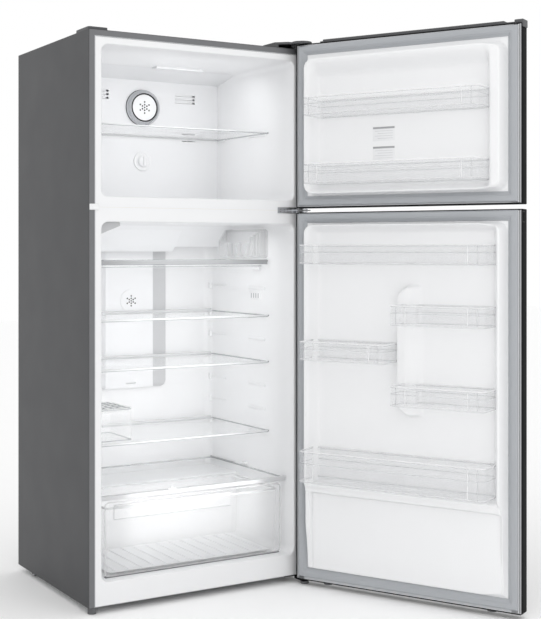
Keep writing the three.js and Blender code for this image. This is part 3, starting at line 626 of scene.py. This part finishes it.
def door_bin(name, place, stepped=False):
    """A clear door bin; a stepped one also reaches over the middle spine of its door."""
    low, high = span(name, place)
    back = low.y + BIN_CLEARANCE
    corners = [(low.x, back)]
    if stepped:
        corners += [(SPINE_SIDE, back), (SPINE_SIDE, SPINE_DEPTH, 0.004), (high.x, SPINE_DEPTH, 0.004)]
    else:
        corners.append((high.x, back))
    corners += [
        (high.x, high.y - BIN_CHAMFER, 0.02), (high.x - BIN_CHAMFER * 0.8, high.y),
        (low.x + BIN_CHAMFER * 0.8, high.y), (low.x, high.y - BIN_CHAMFER, 0.02),
    ]
    outline = rounded_outline(corners, 0.012, 4)
    floor, rim = low.z, high.z
    step = floor + 0.6 * (rim - floor)
    made = Shape(BIN)
    made.walls(outline, [
        (floor, -0.0036), (floor + 0.0018, -0.0014), (floor + 0.004, -0.0006),
        (step, -0.0006), (step + 0.0012, -0.0016), (rim, -0.0016),
        (rim, -BIN_WALL - 0.0006), (floor + 0.006, -BIN_WALL - 0.001), (floor + 0.003, -BIN_WALL - 0.0036),
    ])
    # Each bead: its lower edge, height, how far it stands out, and material.
    # Beads in the bright bin material are painted highlights along the rims.
    for level, tall, out, material in (
        (rim - 0.0028, 0.003, 0.0, BIN_HIGHLIGHT), (rim - 0.0045, 0.0014, 0.0, CLEAR_EDGE),
        (step, 0.0016, 0.0002, CLEAR_EDGE),
        (floor + 0.0034, 0.0014, 0.0, BIN_HIGHLIGHT), (floor + 0.001, 0.002, 0.0, CLEAR_EDGE),
    ):
        made.walls(outline, [
            (level, out - 0.0005), (level + tall * 0.2, out), (level + tall * 0.8, out),
            (level + tall, out - 0.0005), (level + tall, out - BIN_WALL), (level, out - BIN_WALL),
        ], material, closed=True)
    # Upright strips near each end: a grey line, and a painted highlight where the end rounds off.
    for end, inward in ((low.x, 1), (high.x, -1)):
        for distance, material in ((0.022, CLEAR_EDGE), (0.052, BIN_HIGHLIGHT)):
            x = end + inward * distance
            made.block((x - 0.001, x + 0.001), (high.y - 0.003, high.y),
                       (floor + 0.004, rim - 0.004), 0.0005, material=material)
    made.piece(f"{name}_clear", place, name, replaces=[name], slot="clear_plastic", smooth=30)


def door_cap():
    """The dark cap along the top of the freezer door, turned down over the door's free end."""
    low, high = span("freezer_door_cap", FREEZER_DOOR)
    y = (low.y, high.y)
    base = low.z
    cap = Shape(CHARCOAL)
    cap.block((low.x, high.x), y, (base, base + 0.0045), 0.0015)
    cap.block((-0.675, -0.07), (y[0] + 0.003, y[1] - 0.003), (base, base + 0.0105), 0.003, 3)
    cap.block((low.x, -0.706), y, (base, base + 0.0112), 0.003, 3)
    cap.block((low.x - 0.0022, low.x + 0.003), y, (base - 0.011, base + 0.0112), 0.0018, 3)
    cap.piece("freezer_door_top_cap", FREEZER_DOOR, "freezer_door", replaces=["freezer_door_cap"],
              slot="dark_plastic")


def stickers():
    """Two plain stickers inside the freezer door: a header band over blank ruled lines."""
    paper = Shape(WHITE_SOFT)
    x = (-0.328, -0.2547)
    margin, header, pitch, line = 0.006, 0.006, 0.0075, 0.0012
    for top, bottom in ((1.4455, 1.4023), (1.3853, 1.3397)):
        paper.block(x, (FLOOR - 0.0006, FLOOR + 0.0004), (bottom, top), 0.0002)
        paper.block(x, (FLOOR, FLOOR + 0.0006), (top - header, top), 0.0002, material=BAND)
        for i in range(4):
            z = top - 2 * header - pitch * i
            inner = (x[0] + margin, x[1] - margin - 0.01 * (i % 2))
            paper.block(inner, (FLOOR, FLOOR + 0.0005), (z - line, z), 0.0002, material=PALE)
    paper.piece("freezer_door_stickers", FREEZER_DOOR, "freezer_door", slot="white_plastic")


def build_doors():
    for door, place, depth, fine_x, fine_z in (
        ("freezer_door", FREEZER_DOOR, freezer_depth, [(-0.694, -0.674), (-0.036, -0.018)],
         [(1.234, 1.25), (1.664, 1.69)]),
        ("fridge_door", FRIDGE_DOOR, fridge_depth,
         [(-0.694, -0.66), (-0.356, -0.336), (-0.052, -0.018)],
         [(0.055, 0.07), (0.296, 0.316), (1.142, 1.158)]),
    ):
        door_case(door, place)
        door_gasket(door, place)
        inner_panel(door, place, depth, fine_x, fine_z)
    door_cap()
    stickers()
    dress("fridge_door_grip", BLACK, edge=0.001)
    for name in ("freezer_bin_upper", "freezer_bin_lower"):
        door_bin(name, FREEZER_DOOR)
    for name in ("fridge_bin_top", "fridge_bin_left", "fridge_bin_bottom"):
        door_bin(name, FRIDGE_DOOR)
    for name in ("fridge_bin_right_upper", "fridge_bin_right_lower"):
        door_bin(name, FRIDGE_DOOR, stepped=True)


# ---- cabinet -----------------------------------------------------------------------------
def open_frame(shape, profile, x, z, material=None):
    """A mitred frame round the left, top and right of a rectangle: profile is (inset, depth)."""
    rings = []
    for right, up in ((0, 0), (0, 1), (1, 1), (1, 0)):
        rings.append([(x[right] + (1 - 2 * right) * inset, depth, z[up] - up * inset)
                      for inset, depth in profile])
    return shape.loft(rings, material)


def ribbed_foot(name, top, stem=None):
    """A levelling foot with a ribbed rim, and its stem up to a height where it is seen."""
    centre = (CABINET.inverted() @ Vector(JOINTS[f"{name}_turn"]["pos_m"])).xy
    radius, groove, ribs = 0.0132, 0.0009, 22
    ring = []
    for i in range(ribs * 2):
        reach = radius - (groove if i % 2 else 0.0)
        angle = math.pi * i / ribs
        ring.append(centre + reach * Vector((math.cos(angle), math.sin(angle))))
    foot = Shape(SLATE).prism(ring, "z", 0.0, top, edge=0.001)
    if stem:
        foot.peg(centre, 0.0048, (top - 0.001, stem), "z", 20)
    foot.piece(f"{name}_ribbed", CABINET, name, replaces=[name], slot="grey_plastic")


def build_case():
    """The painted case with its front flange, and what stands on, under and behind it."""
    dress("cabinet_shell", STEEL, edge=0.0012)
    low, high = span("cabinet_shell", CABINET)
    x = (low.x + 0.0012, high.x - 0.0012)
    z = (low.z + 0.001, high.z - 0.0012)
    # The flange is painted lighter than the shell's steel, as if lit from the front; the thin raised
    # silver band along its inner edge is a painted highlight.
    flange = Shape(FLANGE_LIT)
    open_frame(flange, [(0, 0.001), (0, -0.0004), (0.0004, -0.0008), (0.0183, -0.0008),
                        (0.0185, 0.001)], x, z)
    open_frame(flange, [(0.0166, 0.001), (0.0166, -0.001), (0.0169, -0.0013), (0.0183, -0.0013),
                        (0.0187, -0.001), (0.0187, 0.001)], x, z, SILVER)
    flange.piece("front_flange", slot="painted_steel")
    plug = Shape(WHITE)
    plug.block((-0.3735, -0.3445), (-0.0042, 0.0008), (1.1856, 1.2035), 0.0018, 3)
    plug.block((-0.366, -0.3445), (-0.0056, -0.0036), (1.1865, 1.198), 0.001)
    plug.piece("hinge_plug", slot="white_plastic")
    for node, material, edge in (
        ("cabinet_foam", FOAM, 0), ("rear_panel", ZINC, 0.0008), ("compressor_cover", CHARCOAL, 0),
        ("power_inlet", BLACK, 0.001), ("base_tray", ZINC, 0), ("compressor", BLACK, 0.002),
        ("condenser_coil", BLACK, 0), ("evaporator_coil", ALUMINIUM, 0),
        ("evaporator_fan", CHARCOAL, 0.0006), ("rear_roller_left", BLACK, 0.0012),
        ("rear_roller_right", BLACK, 0.0012), ("top_hinge", ZINC, 0.0006),
        ("top_hinge_cover", CHARCOAL, 0.002), ("left_hinge_cover", CHARCOAL, 0.002),
    ):
        dress(node, material, edge)
    ribbed_foot("front_foot_left", 0.0196, stem=0.05)
    ribbed_foot("front_foot_right", 0.0092)


def build_hinges():
    """The middle hinge's studs, and the bent bracket and pin under the fridge door."""
    dress("middle_hinge", CHROME, edge=0.0006)
    low, high = span("middle_hinge", CABINET)
    middle = (low.z + high.z) / 2
    profile = [(0.0, -0.0036), (0.0014, -0.0036), (0.0016, -0.003), (0.0, -0.003)]
    studs = Shape(BLACK)
    for reach in (0.01, 0.024, 0.036, 0.047, 0.06):
        for height in (-0.004, 0.004):
            studs.turned(profile, "y", (middle + height, low.x + reach), sides=12)
    studs.piece("middle_hinge_studs", slot="chrome")

    x, y, _ = CABINET.inverted() @ Vector(JOINTS["fridge_door_hinge"]["pos_m"])
    low, high = span("lower_hinge", CABINET)
    shelf_z = (0.0166, 0.0194)
    near = high.x - 0.03
    bracket = Shape(BLACK)
    bracket.block((near, high.x), (y - 0.013, 0.004), (low.z, low.z + 0.0026), 0.0008)
    bracket.block((near, high.x), (0.0012, 0.0042), (low.z, shelf_z[1]), 0.0008)
    bracket.block((high.x - 0.066, high.x), (0.004, 0.058), shelf_z, 0.0008)
    bracket.turned([(0.0, low.z + 0.001), (0.005, low.z + 0.001), (0.005, high.z - 0.001),
                    (0.004, high.z), (0.0, high.z)], "z", (x, y), sides=24)
    bracket.piece("lower_hinge_bracket", replaces=["lower_hinge"], slot="black_steel")


MOUTH = 0.004           # rounding of a compartment's front edge


def liner_box(name, z, back_radius):
    """A moulded compartment: a flat frame, a rounded mouth, walls and a rounded back."""
    low, high = span(name, CABINET)
    corner, front = 0.018, low.y
    mouth_steps, back_steps = 4, 6
    made = Shape(WHITE)

    def ring(grow, y, radius):
        x = (-OPENING_HALF - grow, OPENING_HALF + grow)
        points = rectangle(x, (z[0] - grow, z[1] + grow), radius, 6)
        return [(point.x, y, point.y) for point in points]

    rings = []
    for i in range(mouth_steps + 1):
        turn = math.pi / 2 * i / mouth_steps
        y = front + MOUTH * (1 - math.cos(turn))
        rings.append(ring(MOUTH * (1 - math.sin(turn)), y, corner + MOUTH))
    for i in range(back_steps + 1):
        turn = math.pi / 2 * i / back_steps
        inward = back_radius * (1 - math.cos(turn))
        rings.append(ring(-inward, BACK - back_radius * (1 - math.sin(turn)), corner))
    made.loft(rings, cap_start=False)

    part = bmesh.new()
    edge_ring = [part.verts.new(point) for point in rings[0]]
    corners = ((low.x, low.z), (high.x, low.z), (high.x, high.z), (low.x, high.z))
    frame_ring = [part.verts.new((x, front, height)) for x, height in corners]
    count = len(edge_ring)
    quarter = count // 4
    for side in range(4):
        first = side * quarter
        for i in range(first, first + quarter - 1):
            part.faces.new((frame_ring[side], edge_ring[i], edge_ring[i + 1]))
        last, following = edge_ring[first + quarter - 1], edge_ring[(first + quarter) % count]
        part.faces.new((frame_ring[side], last, following, frame_ring[(side + 1) % 4]))
    return made.take(part)


def both_walls(shape, proud, y, z, radius=0.0015, material=None):
    """A block standing out of the left and the right wall by a distance."""
    for side in (-1, 1):
        x = sorted((side * (OPENING_HALF - proud), side * (OPENING_HALF + 0.001)))
        shape.block(x, y, z, radius, material=material)


SHELF_LEVELS = (0.948, 0.852, 0.778, 0.699, 0.624, 0.546, 0.47)
SHELF_THICKNESS = 0.0053        # a pane and the gap under it


def build_liners():
    """Both compartments, with the ribs that carry shelves and the hump at the fridge's back."""
    freezer = liner_box("freezer_liner", (1.226, 1.675), 0.012)
    for y in ((0.17, 0.275), (0.43, 0.49)):
        both_walls(freezer, 0.003, y, (1.4477, 1.4527))
    freezer.lean().piece("freezer_interior", replaces=["freezer_liner"], slot="white_plastic")
    fridge = liner_box("fridge_liner", (0.09, 1.151), 0.03)
    for level in SHELF_LEVELS:
        under = level - SHELF_THICKNESS
        both_walls(fridge, 0.003, (0.172, 0.275), (under - 0.009, under), radius=0.0026)
        both_walls(fridge, 0.003, (0.43, 0.54), (under - 0.004, under))
        both_walls(fridge, 0.0105, (0.5255, 0.541), (under - 0.014, level + 0.003), radius=0.003)
    # Stops of the top shelf and of the crisper cover, then a small panel with four slots.
    both_walls(fridge, 0.014, (0.196, 0.232), (1.0, 1.0115), radius=0.003)
    both_walls(fridge, 0.011, (0.286, 0.316), (0.3345, 0.343), radius=0.002)
    both_walls(fridge, 0.0022, (0.201, 0.263), (0.9, 0.927), radius=0.001)
    for column in range(4):
        y = 0.21 + 0.0145 * column
        both_walls(fridge, 0.0025, (y, y + 0.006), (0.905, 0.922), radius=0.001, material=TRIM)
    hump = rounded_outline([(0.36, 0.084), (0.36, 0.2992, 0.003), (0.55, 0.2992), (0.55, 0.084)], 0.0)
    fridge.prism(hump, "x", 0.0005 - OPENING_HALF, OPENING_HALF - 0.0005)
    fridge.lean().piece("fridge_interior", replaces=["fridge_liner"], slot="white_plastic")


def dots(shape, centre, y, radii, size, material=None):
    """A round pattern of small dots on an upright face: radii is a list of (radius, count)."""
    for radius, count in radii:
        for i in range(count):
            angle = 2 * math.pi * i / count
            z = centre[0] + radius * math.cos(angle)
            x = centre[1] + radius * math.sin(angle)
            shape.peg((z, x), size, (y - 0.0003, y + 0.0004), material=material)


def disc_centre(low, high):
    """The middle of a node that faces forward, as (z, x)."""
    return (low.z + high.z) / 2, (low.x + high.x) / 2


def build_vent():
    """The round air outlet: a bright ring, a gap drawn dark with a black sleeve as painted shade, and a
    white disc with a pattern of holes.
    """
    low, high = span("vent_ring", CABINET)
    centre = disc_centre(low, high)
    outer = (high.x - low.x) / 2
    inner, face, rim = outer - 0.0122, high.y, low.y
    sides = 64
    ring = Shape(CHROME)
    ring.turned([(inner, face), (inner, rim + 0.0008), (inner + 0.0008, rim), (inner + 0.0034, rim),
                 (outer - 0.001, face - 0.0125), (outer, face - 0.01), (outer, face), (inner, face)],
                "y", centre, sides)
    for small, large, front, back in (
        (outer - 0.001, outer + 0.0012, face - 0.001, face),
        # The second black ring is painted shade: a dark sleeve in the air gap between the ring and the
        # disc.
        (inner - 0.005, inner + 0.001, rim + 0.0018, rim + 0.012),
    ):
        ring.turned([(large, back), (large, front), (small, front), (small, back), (large, back)],
                    "y", centre, sides, BLACK)
    ring.piece("vent_ring_bright", replaces=["vent_ring"], slot="chrome")

    low, high = span("vent_disc", CABINET)
    radius, front = (high.x - low.x) / 2 - 0.0018, rim + 0.0012
    disc = Shape(WHITE)
    disc.turned([(0.0, front), (radius - 0.0016, front), (radius, front + 0.0014),
                 (radius, front + 0.004), (0.0, front + 0.004)], "y", centre, sides)
    for i in range(3):
        angle = math.pi / 2 + i * 2 * math.pi / 3
        reach = radius - 0.003
        spot = (centre[0] + reach * math.sin(angle), centre[1] + reach * math.cos(angle))
        disc.peg(spot, 0.0014, (front + 0.003, face))
    dots(disc, centre, front, ((0, 1), (0.0095, 6), (0.019, 6)), 0.0029, BLACK)
    disc.piece("vent_disc_dotted", replaces=["vent_disc"], slot="white_plastic")


def build_louvres():
    """Slanted fins that nearly fill the slots of the evaporator cover."""
    face = span("vent_ring", CABINET)[1].y + 0.0003
    y = (face + 0.0004, face + 0.002)
    fins = Shape(WHITE_SOFT)
    for start in (-0.1748, 0.1532):
        for z in (1.578, 1.59, 1.602):
            fins.block((start, start + 0.069), y, (z + 0.001, z + 0.0058), 0.0004)
    for z in (1.446, 1.47):
        fins.block((0.1805, 0.2315), y, (z + 0.0022, z + 0.0048), 0.0004)
    fins.piece("louvre_fins", slot="white_plastic")


def build_knob():
    """The dial: a flat skirt with a groove, a raised hub, a grip bar and nine marks."""
    low, high = span("freezer_control_knob", CABINET)
    centre = disc_centre(low, high)
    radius, face = (high.x - low.x) / 2, high.y
    skirt = face - 0.0046
    knob = Shape(WHITE)
    knob.turned([
        (0.0, face), (radius, face), (radius, face - 0.003), (radius - 0.0014, skirt),
        (0.0268, skirt), (0.0262, skirt + 0.001), (0.0252, skirt + 0.001), (0.0246, skirt),
        (0.0205, skirt), (0.019, face - 0.0132), (0.0172, face - 0.0152), (0.0132, face - 0.0152),
        (0.0118, face - 0.0138), (0.0, face - 0.0138),
    ], "y", centre, sides=56)
    knob.block((centre[1] - 0.0026, centre[1] + 0.0026), (low.y, face - 0.013),
               (centre[0] - 0.0165, centre[0] + 0.0165), 0.0016, 3)
    for i in range(9):
        angle = math.radians(-60 + 15 * i)
        mark = (centre[0] + 0.0292 * math.cos(angle), centre[1] + 0.0292 * math.sin(angle))
        knob.peg(mark, 0.0007, (face - 0.005, face - 0.0042), sides=8, material=TRIM)
    knob.piece("freezer_dial", CABINET, "freezer_control_knob", replaces=["freezer_control_knob"],
               slot="white_plastic")


def build_lamp():
    """The side lamp: a clear cover, a white reflector, and upright prisms behind its front end."""
    low, high = span("side_lamp_lens", CABINET)
    wall = OPENING_HALF
    lamp = Shape(FROSTED)
    outline = rectangle((low.y, high.y), (low.z, high.z), 0.012)
    lamp.prism(outline, "x", low.x, wall - 0.0006, edge=0.003)
    lamp.block((wall - 0.006, wall - 0.003), (low.y + 0.03, high.y - 0.02),
               (low.z + 0.008, high.z - 0.008), 0.001, material=WHITE_SOFT)
    for i in range(4):
        y = low.y + 0.012 + 0.019 * i
        lamp.block((low.x + 0.004, wall - 0.004), (y, y + 0.007),
                   (low.z + 0.006, high.z - 0.006 - 0.006 * i), 0.002, material=CLEAR_RIM)
    for i in range(3):
        y = low.y + 0.1 + 0.06 * i
        lamp.block((low.x + 0.003, wall - 0.008), (y, y + 0.004), (low.z + 0.004, low.z + 0.05),
                   0.0015, material=CLEAR_RIM)
    lamp.lean().piece("side_lamp_cover", replaces=["side_lamp_lens"], slot="clear_plastic")


def build_compartments():
    """The covers and fittings on the back walls, ceilings and side walls."""
    for node, material, edge in (
        ("evaporator_cover", WHITE_SOFT, 0.0015), ("freezer_light_lens", WHITE_SOFT, 0.002),
        ("air_duct_cover", WHITE_SOFT, 0.004), ("duct_panel", WHITE_SOFT, 0.0012),
        ("duct_side_trim", PALE, 0.001), ("control_housing", PALE, 0.002),
        ("humidity_slider", WHITE, 0.0008),
    ):
        dress(node, material, edge, segments=3)
    build_vent()
    build_louvres()
    build_knob()
    build_lamp()
    low, _ = span("duct_panel", CABINET)
    holes = Shape(BLACK)
    dots(holes, (0.892, 0.004), low.y, ((0, 1), (0.0085, 6), (0.017, 6)), 0.0027)
    holes.piece("duct_air_holes", slot="white_plastic")


PANE_HALF = 0.3328      # half width of a glass pane at the front
TRIM_HALF = PANE_HALF - 0.006


def shelf(node, pane_top, inset, trim, rear_trim=None, front_material=SHELF_TRIM):
    """A glass pane with a moulded front trim, and a rear one where it is given.

    inset is how far behind the trim's face the pane begins; a trim is (depth, low z, high z).
    """
    low, high = span(node, CABINET)
    made = Shape(GLASS)
    outline = rectangle((-PANE_HALF, PANE_HALF), (low.y + inset, high.y - 0.001), 0.004)
    made.plate(outline, pane_top - 0.0045, pane_top, GLASS_EDGE)
    depth, bottom, top = trim
    x = (-TRIM_HALF, TRIM_HALF)
    made.block(x, (low.y, low.y + depth), (bottom + 0.0012, top), 0.0018, 3, front_material)
    made.block(x, (low.y + 0.0006, low.y + depth), (bottom, bottom + 0.0026), 0.0006,
               material=GLASS_EDGE)
    if rear_trim:
        depth, bottom, top = rear_trim
        made.block(x, (high.y - depth, high.y), (bottom, top), 0.0015, material=CLEAR_RIM)
    return made


def fit_shelf(made, node):
    """Narrows a shelf with the walls and puts it on its own body."""
    made.lean().piece(f"{node}_pane", CABINET, node, replaces=[node], slot="shelf_glass")


def build_shelves():
    """All the glass: the shelves, of which the fridge's top one has a rail, and the drawer's cover."""
    made = shelf("freezer_shelf", 1.458, 0.002, (0.005, 1.4532, 1.4583), (0.005, 1.453, 1.4605))
    fit_shelf(made, "freezer_shelf")
    for number, level in ((2, 0.852), (3, 0.699), (4, 0.47)):
        made = shelf(f"fridge_shelf_{number}", level, 0.002, (0.01, level - 0.0065, level + 0.001),
                     (0.006, level - 0.006, level + 0.006))
        fit_shelf(made, f"fridge_shelf_{number}")
    low, high = span("fridge_shelf_1", CABINET)
    made = shelf("fridge_shelf_1", high.z - 0.003, 0.004, (0.01, high.z - 0.0165, high.z - 0.001),
                 front_material=BAND)
    x = (-TRIM_HALF, TRIM_HALF)
    made.block(x, (0.184, 0.19), (low.z, low.z + 0.01), 0.002)
    made.block(x, (0.1835, 0.1905), (low.z, low.z + 0.0022), 0.001, material=GLASS_EDGE)
    fit_shelf(made, "fridge_shelf_1")
    build_crisper_cover()


def build_crisper_cover():
    """The glass over the drawer, whose front trim has a track for the humidity slider."""
    low, high = span("crisper_cover", CABINET)
    pane_top, half = 0.329, PANE_HALF - 0.003
    front, back = low.y, low.y + 0.02
    track = (-0.096, -0.026)
    cover = Shape(GLASS)
    outline = rectangle((-PANE_HALF, PANE_HALF), (low.y + 0.018, high.y), 0.004)
    cover.plate(outline, pane_top - 0.0055, pane_top, GLASS_EDGE)
    for x in ((-half, track[0]), (track[1], half)):
        cover.block(x, (front, back), (low.z, high.z), 0.003, 3, SHELF_TRIM)
    for y in ((front, front + 0.0048), (front + 0.0152, back)):
        cover.block(track, y, (low.z, high.z), 0.002, 3, SHELF_TRIM)
    cover.block(track, (front + 0.002, back - 0.002), (low.z + 0.001, pane_top + 0.0008), 0.001,
                material=GLASS_EDGE)
    cover.block((half - 0.006, half - 0.001), (0.36, high.y), (pane_top, pane_top + 0.0035), 0.001,
                material=BAND)
    fit_shelf(cover, "crisper_cover")


def build_drawer():
    """The clear drawer: a bordered front, a tub, a ribbed floor and a shallow grip."""
    low, high = span("crisper_drawer", CABINET)
    front = low.y + 0.007
    drawer = Shape(CLEAR)
    face = rectangle((low.z, high.z), (low.x, high.x), 0.014)
    drawer.prism(face, "y", front, front + 0.005, edge=0.0015)
    border = []
    for out, y in ((0, 0.001), (-0.0006, -0.0004), (-0.0032, -0.0004), (-0.0038, 0.001)):
        border.append([(point.y, front + y, point.x) for point in offset_outline(face, out)])
    drawer.loft(border, CLEAR_RIM, closed=True)

    outline = rectangle((low.x + 0.006, high.x - 0.006), (front + 0.004, high.y), 0.02)
    top = 0.296
    drawer.walls(outline, [
        (low.z + 0.001, -0.012), (low.z + 0.006, -0.006), (top, 0.0), (top + 0.001, -0.001),
        (top, -0.003), (low.z + 0.009, -0.009), (low.z + 0.005, -0.014),
    ])
    drawer.band(outline, (top - 0.004, top + 0.0015), 0.0003, -0.0032, CLEAR_RIM)
    floor = rectangle((low.x + 0.026, high.x - 0.026), (front + 0.022, high.y - 0.02), 0.012)
    drawer.prism(floor, "z", low.z + 0.0052, low.z + 0.0066, material=WHITE_SOFT)
    ribs, end = 13, 0.05
    for i in range(ribs):
        x = low.x + end + i * (high.x - low.x - 2 * end) / (ribs - 1)
        drawer.block((x - 0.0012, x + 0.0012), (front + 0.03, high.y - 0.03),
                     (low.z + 0.006, low.z + 0.009), 0.0008, material=WHITE_SOFT)

    grip = (-0.278, 0.121)
    drawer.block(grip, (front - 0.0012, front + 0.0004), (0.262, 0.3), 0.0006)
    drawer.block(grip, (front - 0.0016, front), (0.2615, 0.2627), 0.0004, material=GLASS_EDGE)
    # A dark slate strip along the drawer's lower front edge is painted shadow: the shade in the gap
    # between the drawer and the liner.
    drawer.block((low.x + 0.004, high.x - 0.004), (front + 0.0005, front + 0.0125),
                 (low.z - 0.003, low.z + 0.001), 0.0004, material=SLATE)
    drawer.block(grip, (front - 0.0065, front + 0.002), (0.2995, 0.306), 0.002, 3, CLEAR_RIM)
    drawer.block((grip[0] - 0.0008, grip[0] + 0.0008), (front - 0.0016, front), (0.262, 0.3), 0.0004,
                 material=GLASS_EDGE)
    drawer.piece("crisper_drawer_tub", CABINET, "crisper_drawer", replaces=["crisper_drawer"],
                 slot="clear_plastic")


def build_storage_box():
    """The small clear box on the lowest shelf, and the tray that hangs in its mouth."""
    low, high = span("storage_box", CABINET)
    box = Shape(CLEAR)
    outline = rectangle((low.x, high.x), (low.y, high.y), 0.012)
    box.walls(outline, [
        (low.z, -0.004), (low.z + 0.003, -0.001), (high.z - 0.001, 0.0), (high.z, -0.0008),
        (high.z - 0.001, -0.0022), (low.z + 0.005, -0.004), (low.z + 0.002, -0.008),
    ])
    for level in (low.z + 0.001, high.z - 0.003):
        box.band(outline, (level, level + 0.0024), 0.0, -0.0024, GLASS_EDGE)
    box.piece("storage_box_clear", CABINET, "storage_box", replaces=["storage_box"],
              slot="clear_plastic")

    low, high = span("egg_tray", CABINET)
    tray = Shape(CLEAR)
    outline = rectangle((low.x, high.x), (low.y, high.y), 0.01)
    rim = high.z - 0.0036
    tray.walls(outline, [(rim, -0.0002), (high.z, -0.0004), (high.z, -0.0045), (rim, -0.0045)],
               closed=True)
    tray.walls(outline, [(low.z + 0.022, -0.009), (low.z + 0.024, -0.007), (rim, -0.0044),
                         (rim, -0.0056), (low.z + 0.025, -0.0082), (low.z + 0.0235, -0.0105)])
    margin, reach, half_bar = 0.014, 0.008, 0.001
    z = (rim, rim + 0.0024)
    for x in spaced(low.x + margin, high.x - margin, 0.024):
        tray.block((x - half_bar, x + half_bar), (low.y + reach, high.y - reach), z, 0.0005,
                   material=GLASS_EDGE)
    for y in spaced(low.y + margin, high.y - margin, 0.036):
        tray.block((low.x + reach, high.x - reach), (y - half_bar, y + half_bar), z, 0.0005,
                   material=GLASS_EDGE)
    tray.piece("egg_tray_wells", CABINET, "egg_tray", replaces=["egg_tray"], slot="clear_plastic")


# ---- room, light and camera --------------------------------------------------------------
def build_room():
    """A pale floor under a plain white sky."""
    centre = (REST_BOUNDS[0] + REST_BOUNDS[1]) / 2
    floor = bpy.data.meshes.new("floor")
    reach = 14.0
    floor.from_pydata([
        (centre.x - reach, centre.y - reach, 0), (centre.x + reach, centre.y - reach, 0),
        (centre.x + reach, centre.y + reach, 0), (centre.x - reach, centre.y + reach, 0),
    ], [], [(0, 1, 2, 3)])
    floor.materials.append(finish("pale_floor", (0.98, 0.98, 0.98), 0.8, tint=0.005, specular=0.1))
    ground = bpy.data.objects.new("floor", floor)
    bpy.context.scene.collection.objects.link(ground)
    world = bpy.data.worlds.new("studio")
    world.use_nodes = True
    sky = world.node_tree.nodes["Background"]
    sky.inputs["Color"].default_value = (1, 1, 1, 1)
    sky.inputs["Strength"].default_value = 1.0
    bpy.context.scene.world = world


def area_light(name, position, target, size, watts, spread=180):
    """A soft light that isn't itself seen, neither straight on nor mirrored."""
    light = bpy.data.lights.new(name, "AREA")
    light.shape = "RECTANGLE"
    light.size, light.size_y = size
    light.energy = watts
    light.spread = math.radians(spread)
    lamp = bpy.data.objects.new(name, light)
    lamp.location = CABINET @ Vector(position)
    lamp.rotation_mode = "QUATERNION"
    aim = CABINET @ Vector(target) - lamp.location
    lamp.rotation_quaternion = aim.to_track_quat("-Z", "Y")
    lamp.visible_camera = False
    lamp.visible_glossy = False
    bpy.context.scene.collection.objects.link(lamp)


def build_lights():
    """Softboxes in front of and above the cabinet, fills in its two mouths and its own lamps."""
    area_light("interior_fill", (0, -1.5, 1), (0, 0.5, 0.85), (1, 1.9), 2.8)
    area_light("top_softbox", (0.1, -1.3, 2.9), (0.4, -0.3, 0.7), (1.6, 1.6), 2.4)
    area_light("front_softbox", (-1.8, -2.8, 2.2), (0.3, -0.2, 0.9), (2.2, 1.8), 1.5)
    area_light("freezer_fill", (0, 0.008, 1.46), (0, 0.5, 1.46), (0.46, 0.3), 0.42, spread=135)
    area_light("fridge_fill", (0, 0.008, 0.64), (0, 0.5, 0.64), (0.46, 0.96), 1.25, spread=135)
    area_light("freezer_lamp", (0.05, 0.2, 1.66), (0.05, 0.3, 1.2), (0.4, 0.1), 0.3)
    area_light("fridge_lamp", (0, 0.16, 1.13), (0, 0.3, 0.3), (0.5, 0.1), 0.4)


def build_camera():
    """The viewing point, in front of the cabinet and to its left, below the freezer's floor."""
    data = bpy.data.cameras.new("camera")
    data.sensor_width = 36
    data.lens = 71.14
    data.shift_x = 0.0018
    data.shift_y = -0.099
    data.clip_start, data.clip_end = 0.1, 60
    camera = bpy.data.objects.new("camera", data)
    yaw = math.radians(31.34)
    look = Vector((math.sin(yaw), math.cos(yaw), 0))
    camera.location = CABINET @ Vector((-1.7818, -3.3231, 1.0732))
    camera.rotation_mode = "QUATERNION"
    camera.rotation_quaternion = look.to_track_quat("-Z", "Y")
    bpy.context.scene.collection.objects.link(camera)
    bpy.context.scene.camera = camera


build_case()
build_hinges()
build_liners()
build_compartments()
build_shelves()
build_drawer()
build_storage_box()
build_doors()
build_room()
build_lights()
build_camera()
bpy.context.scene.view_settings.view_transform = "Standard"
bpy.context.scene.cycles.transparent_max_bounces = 24   # a line of sight crosses many clear walls
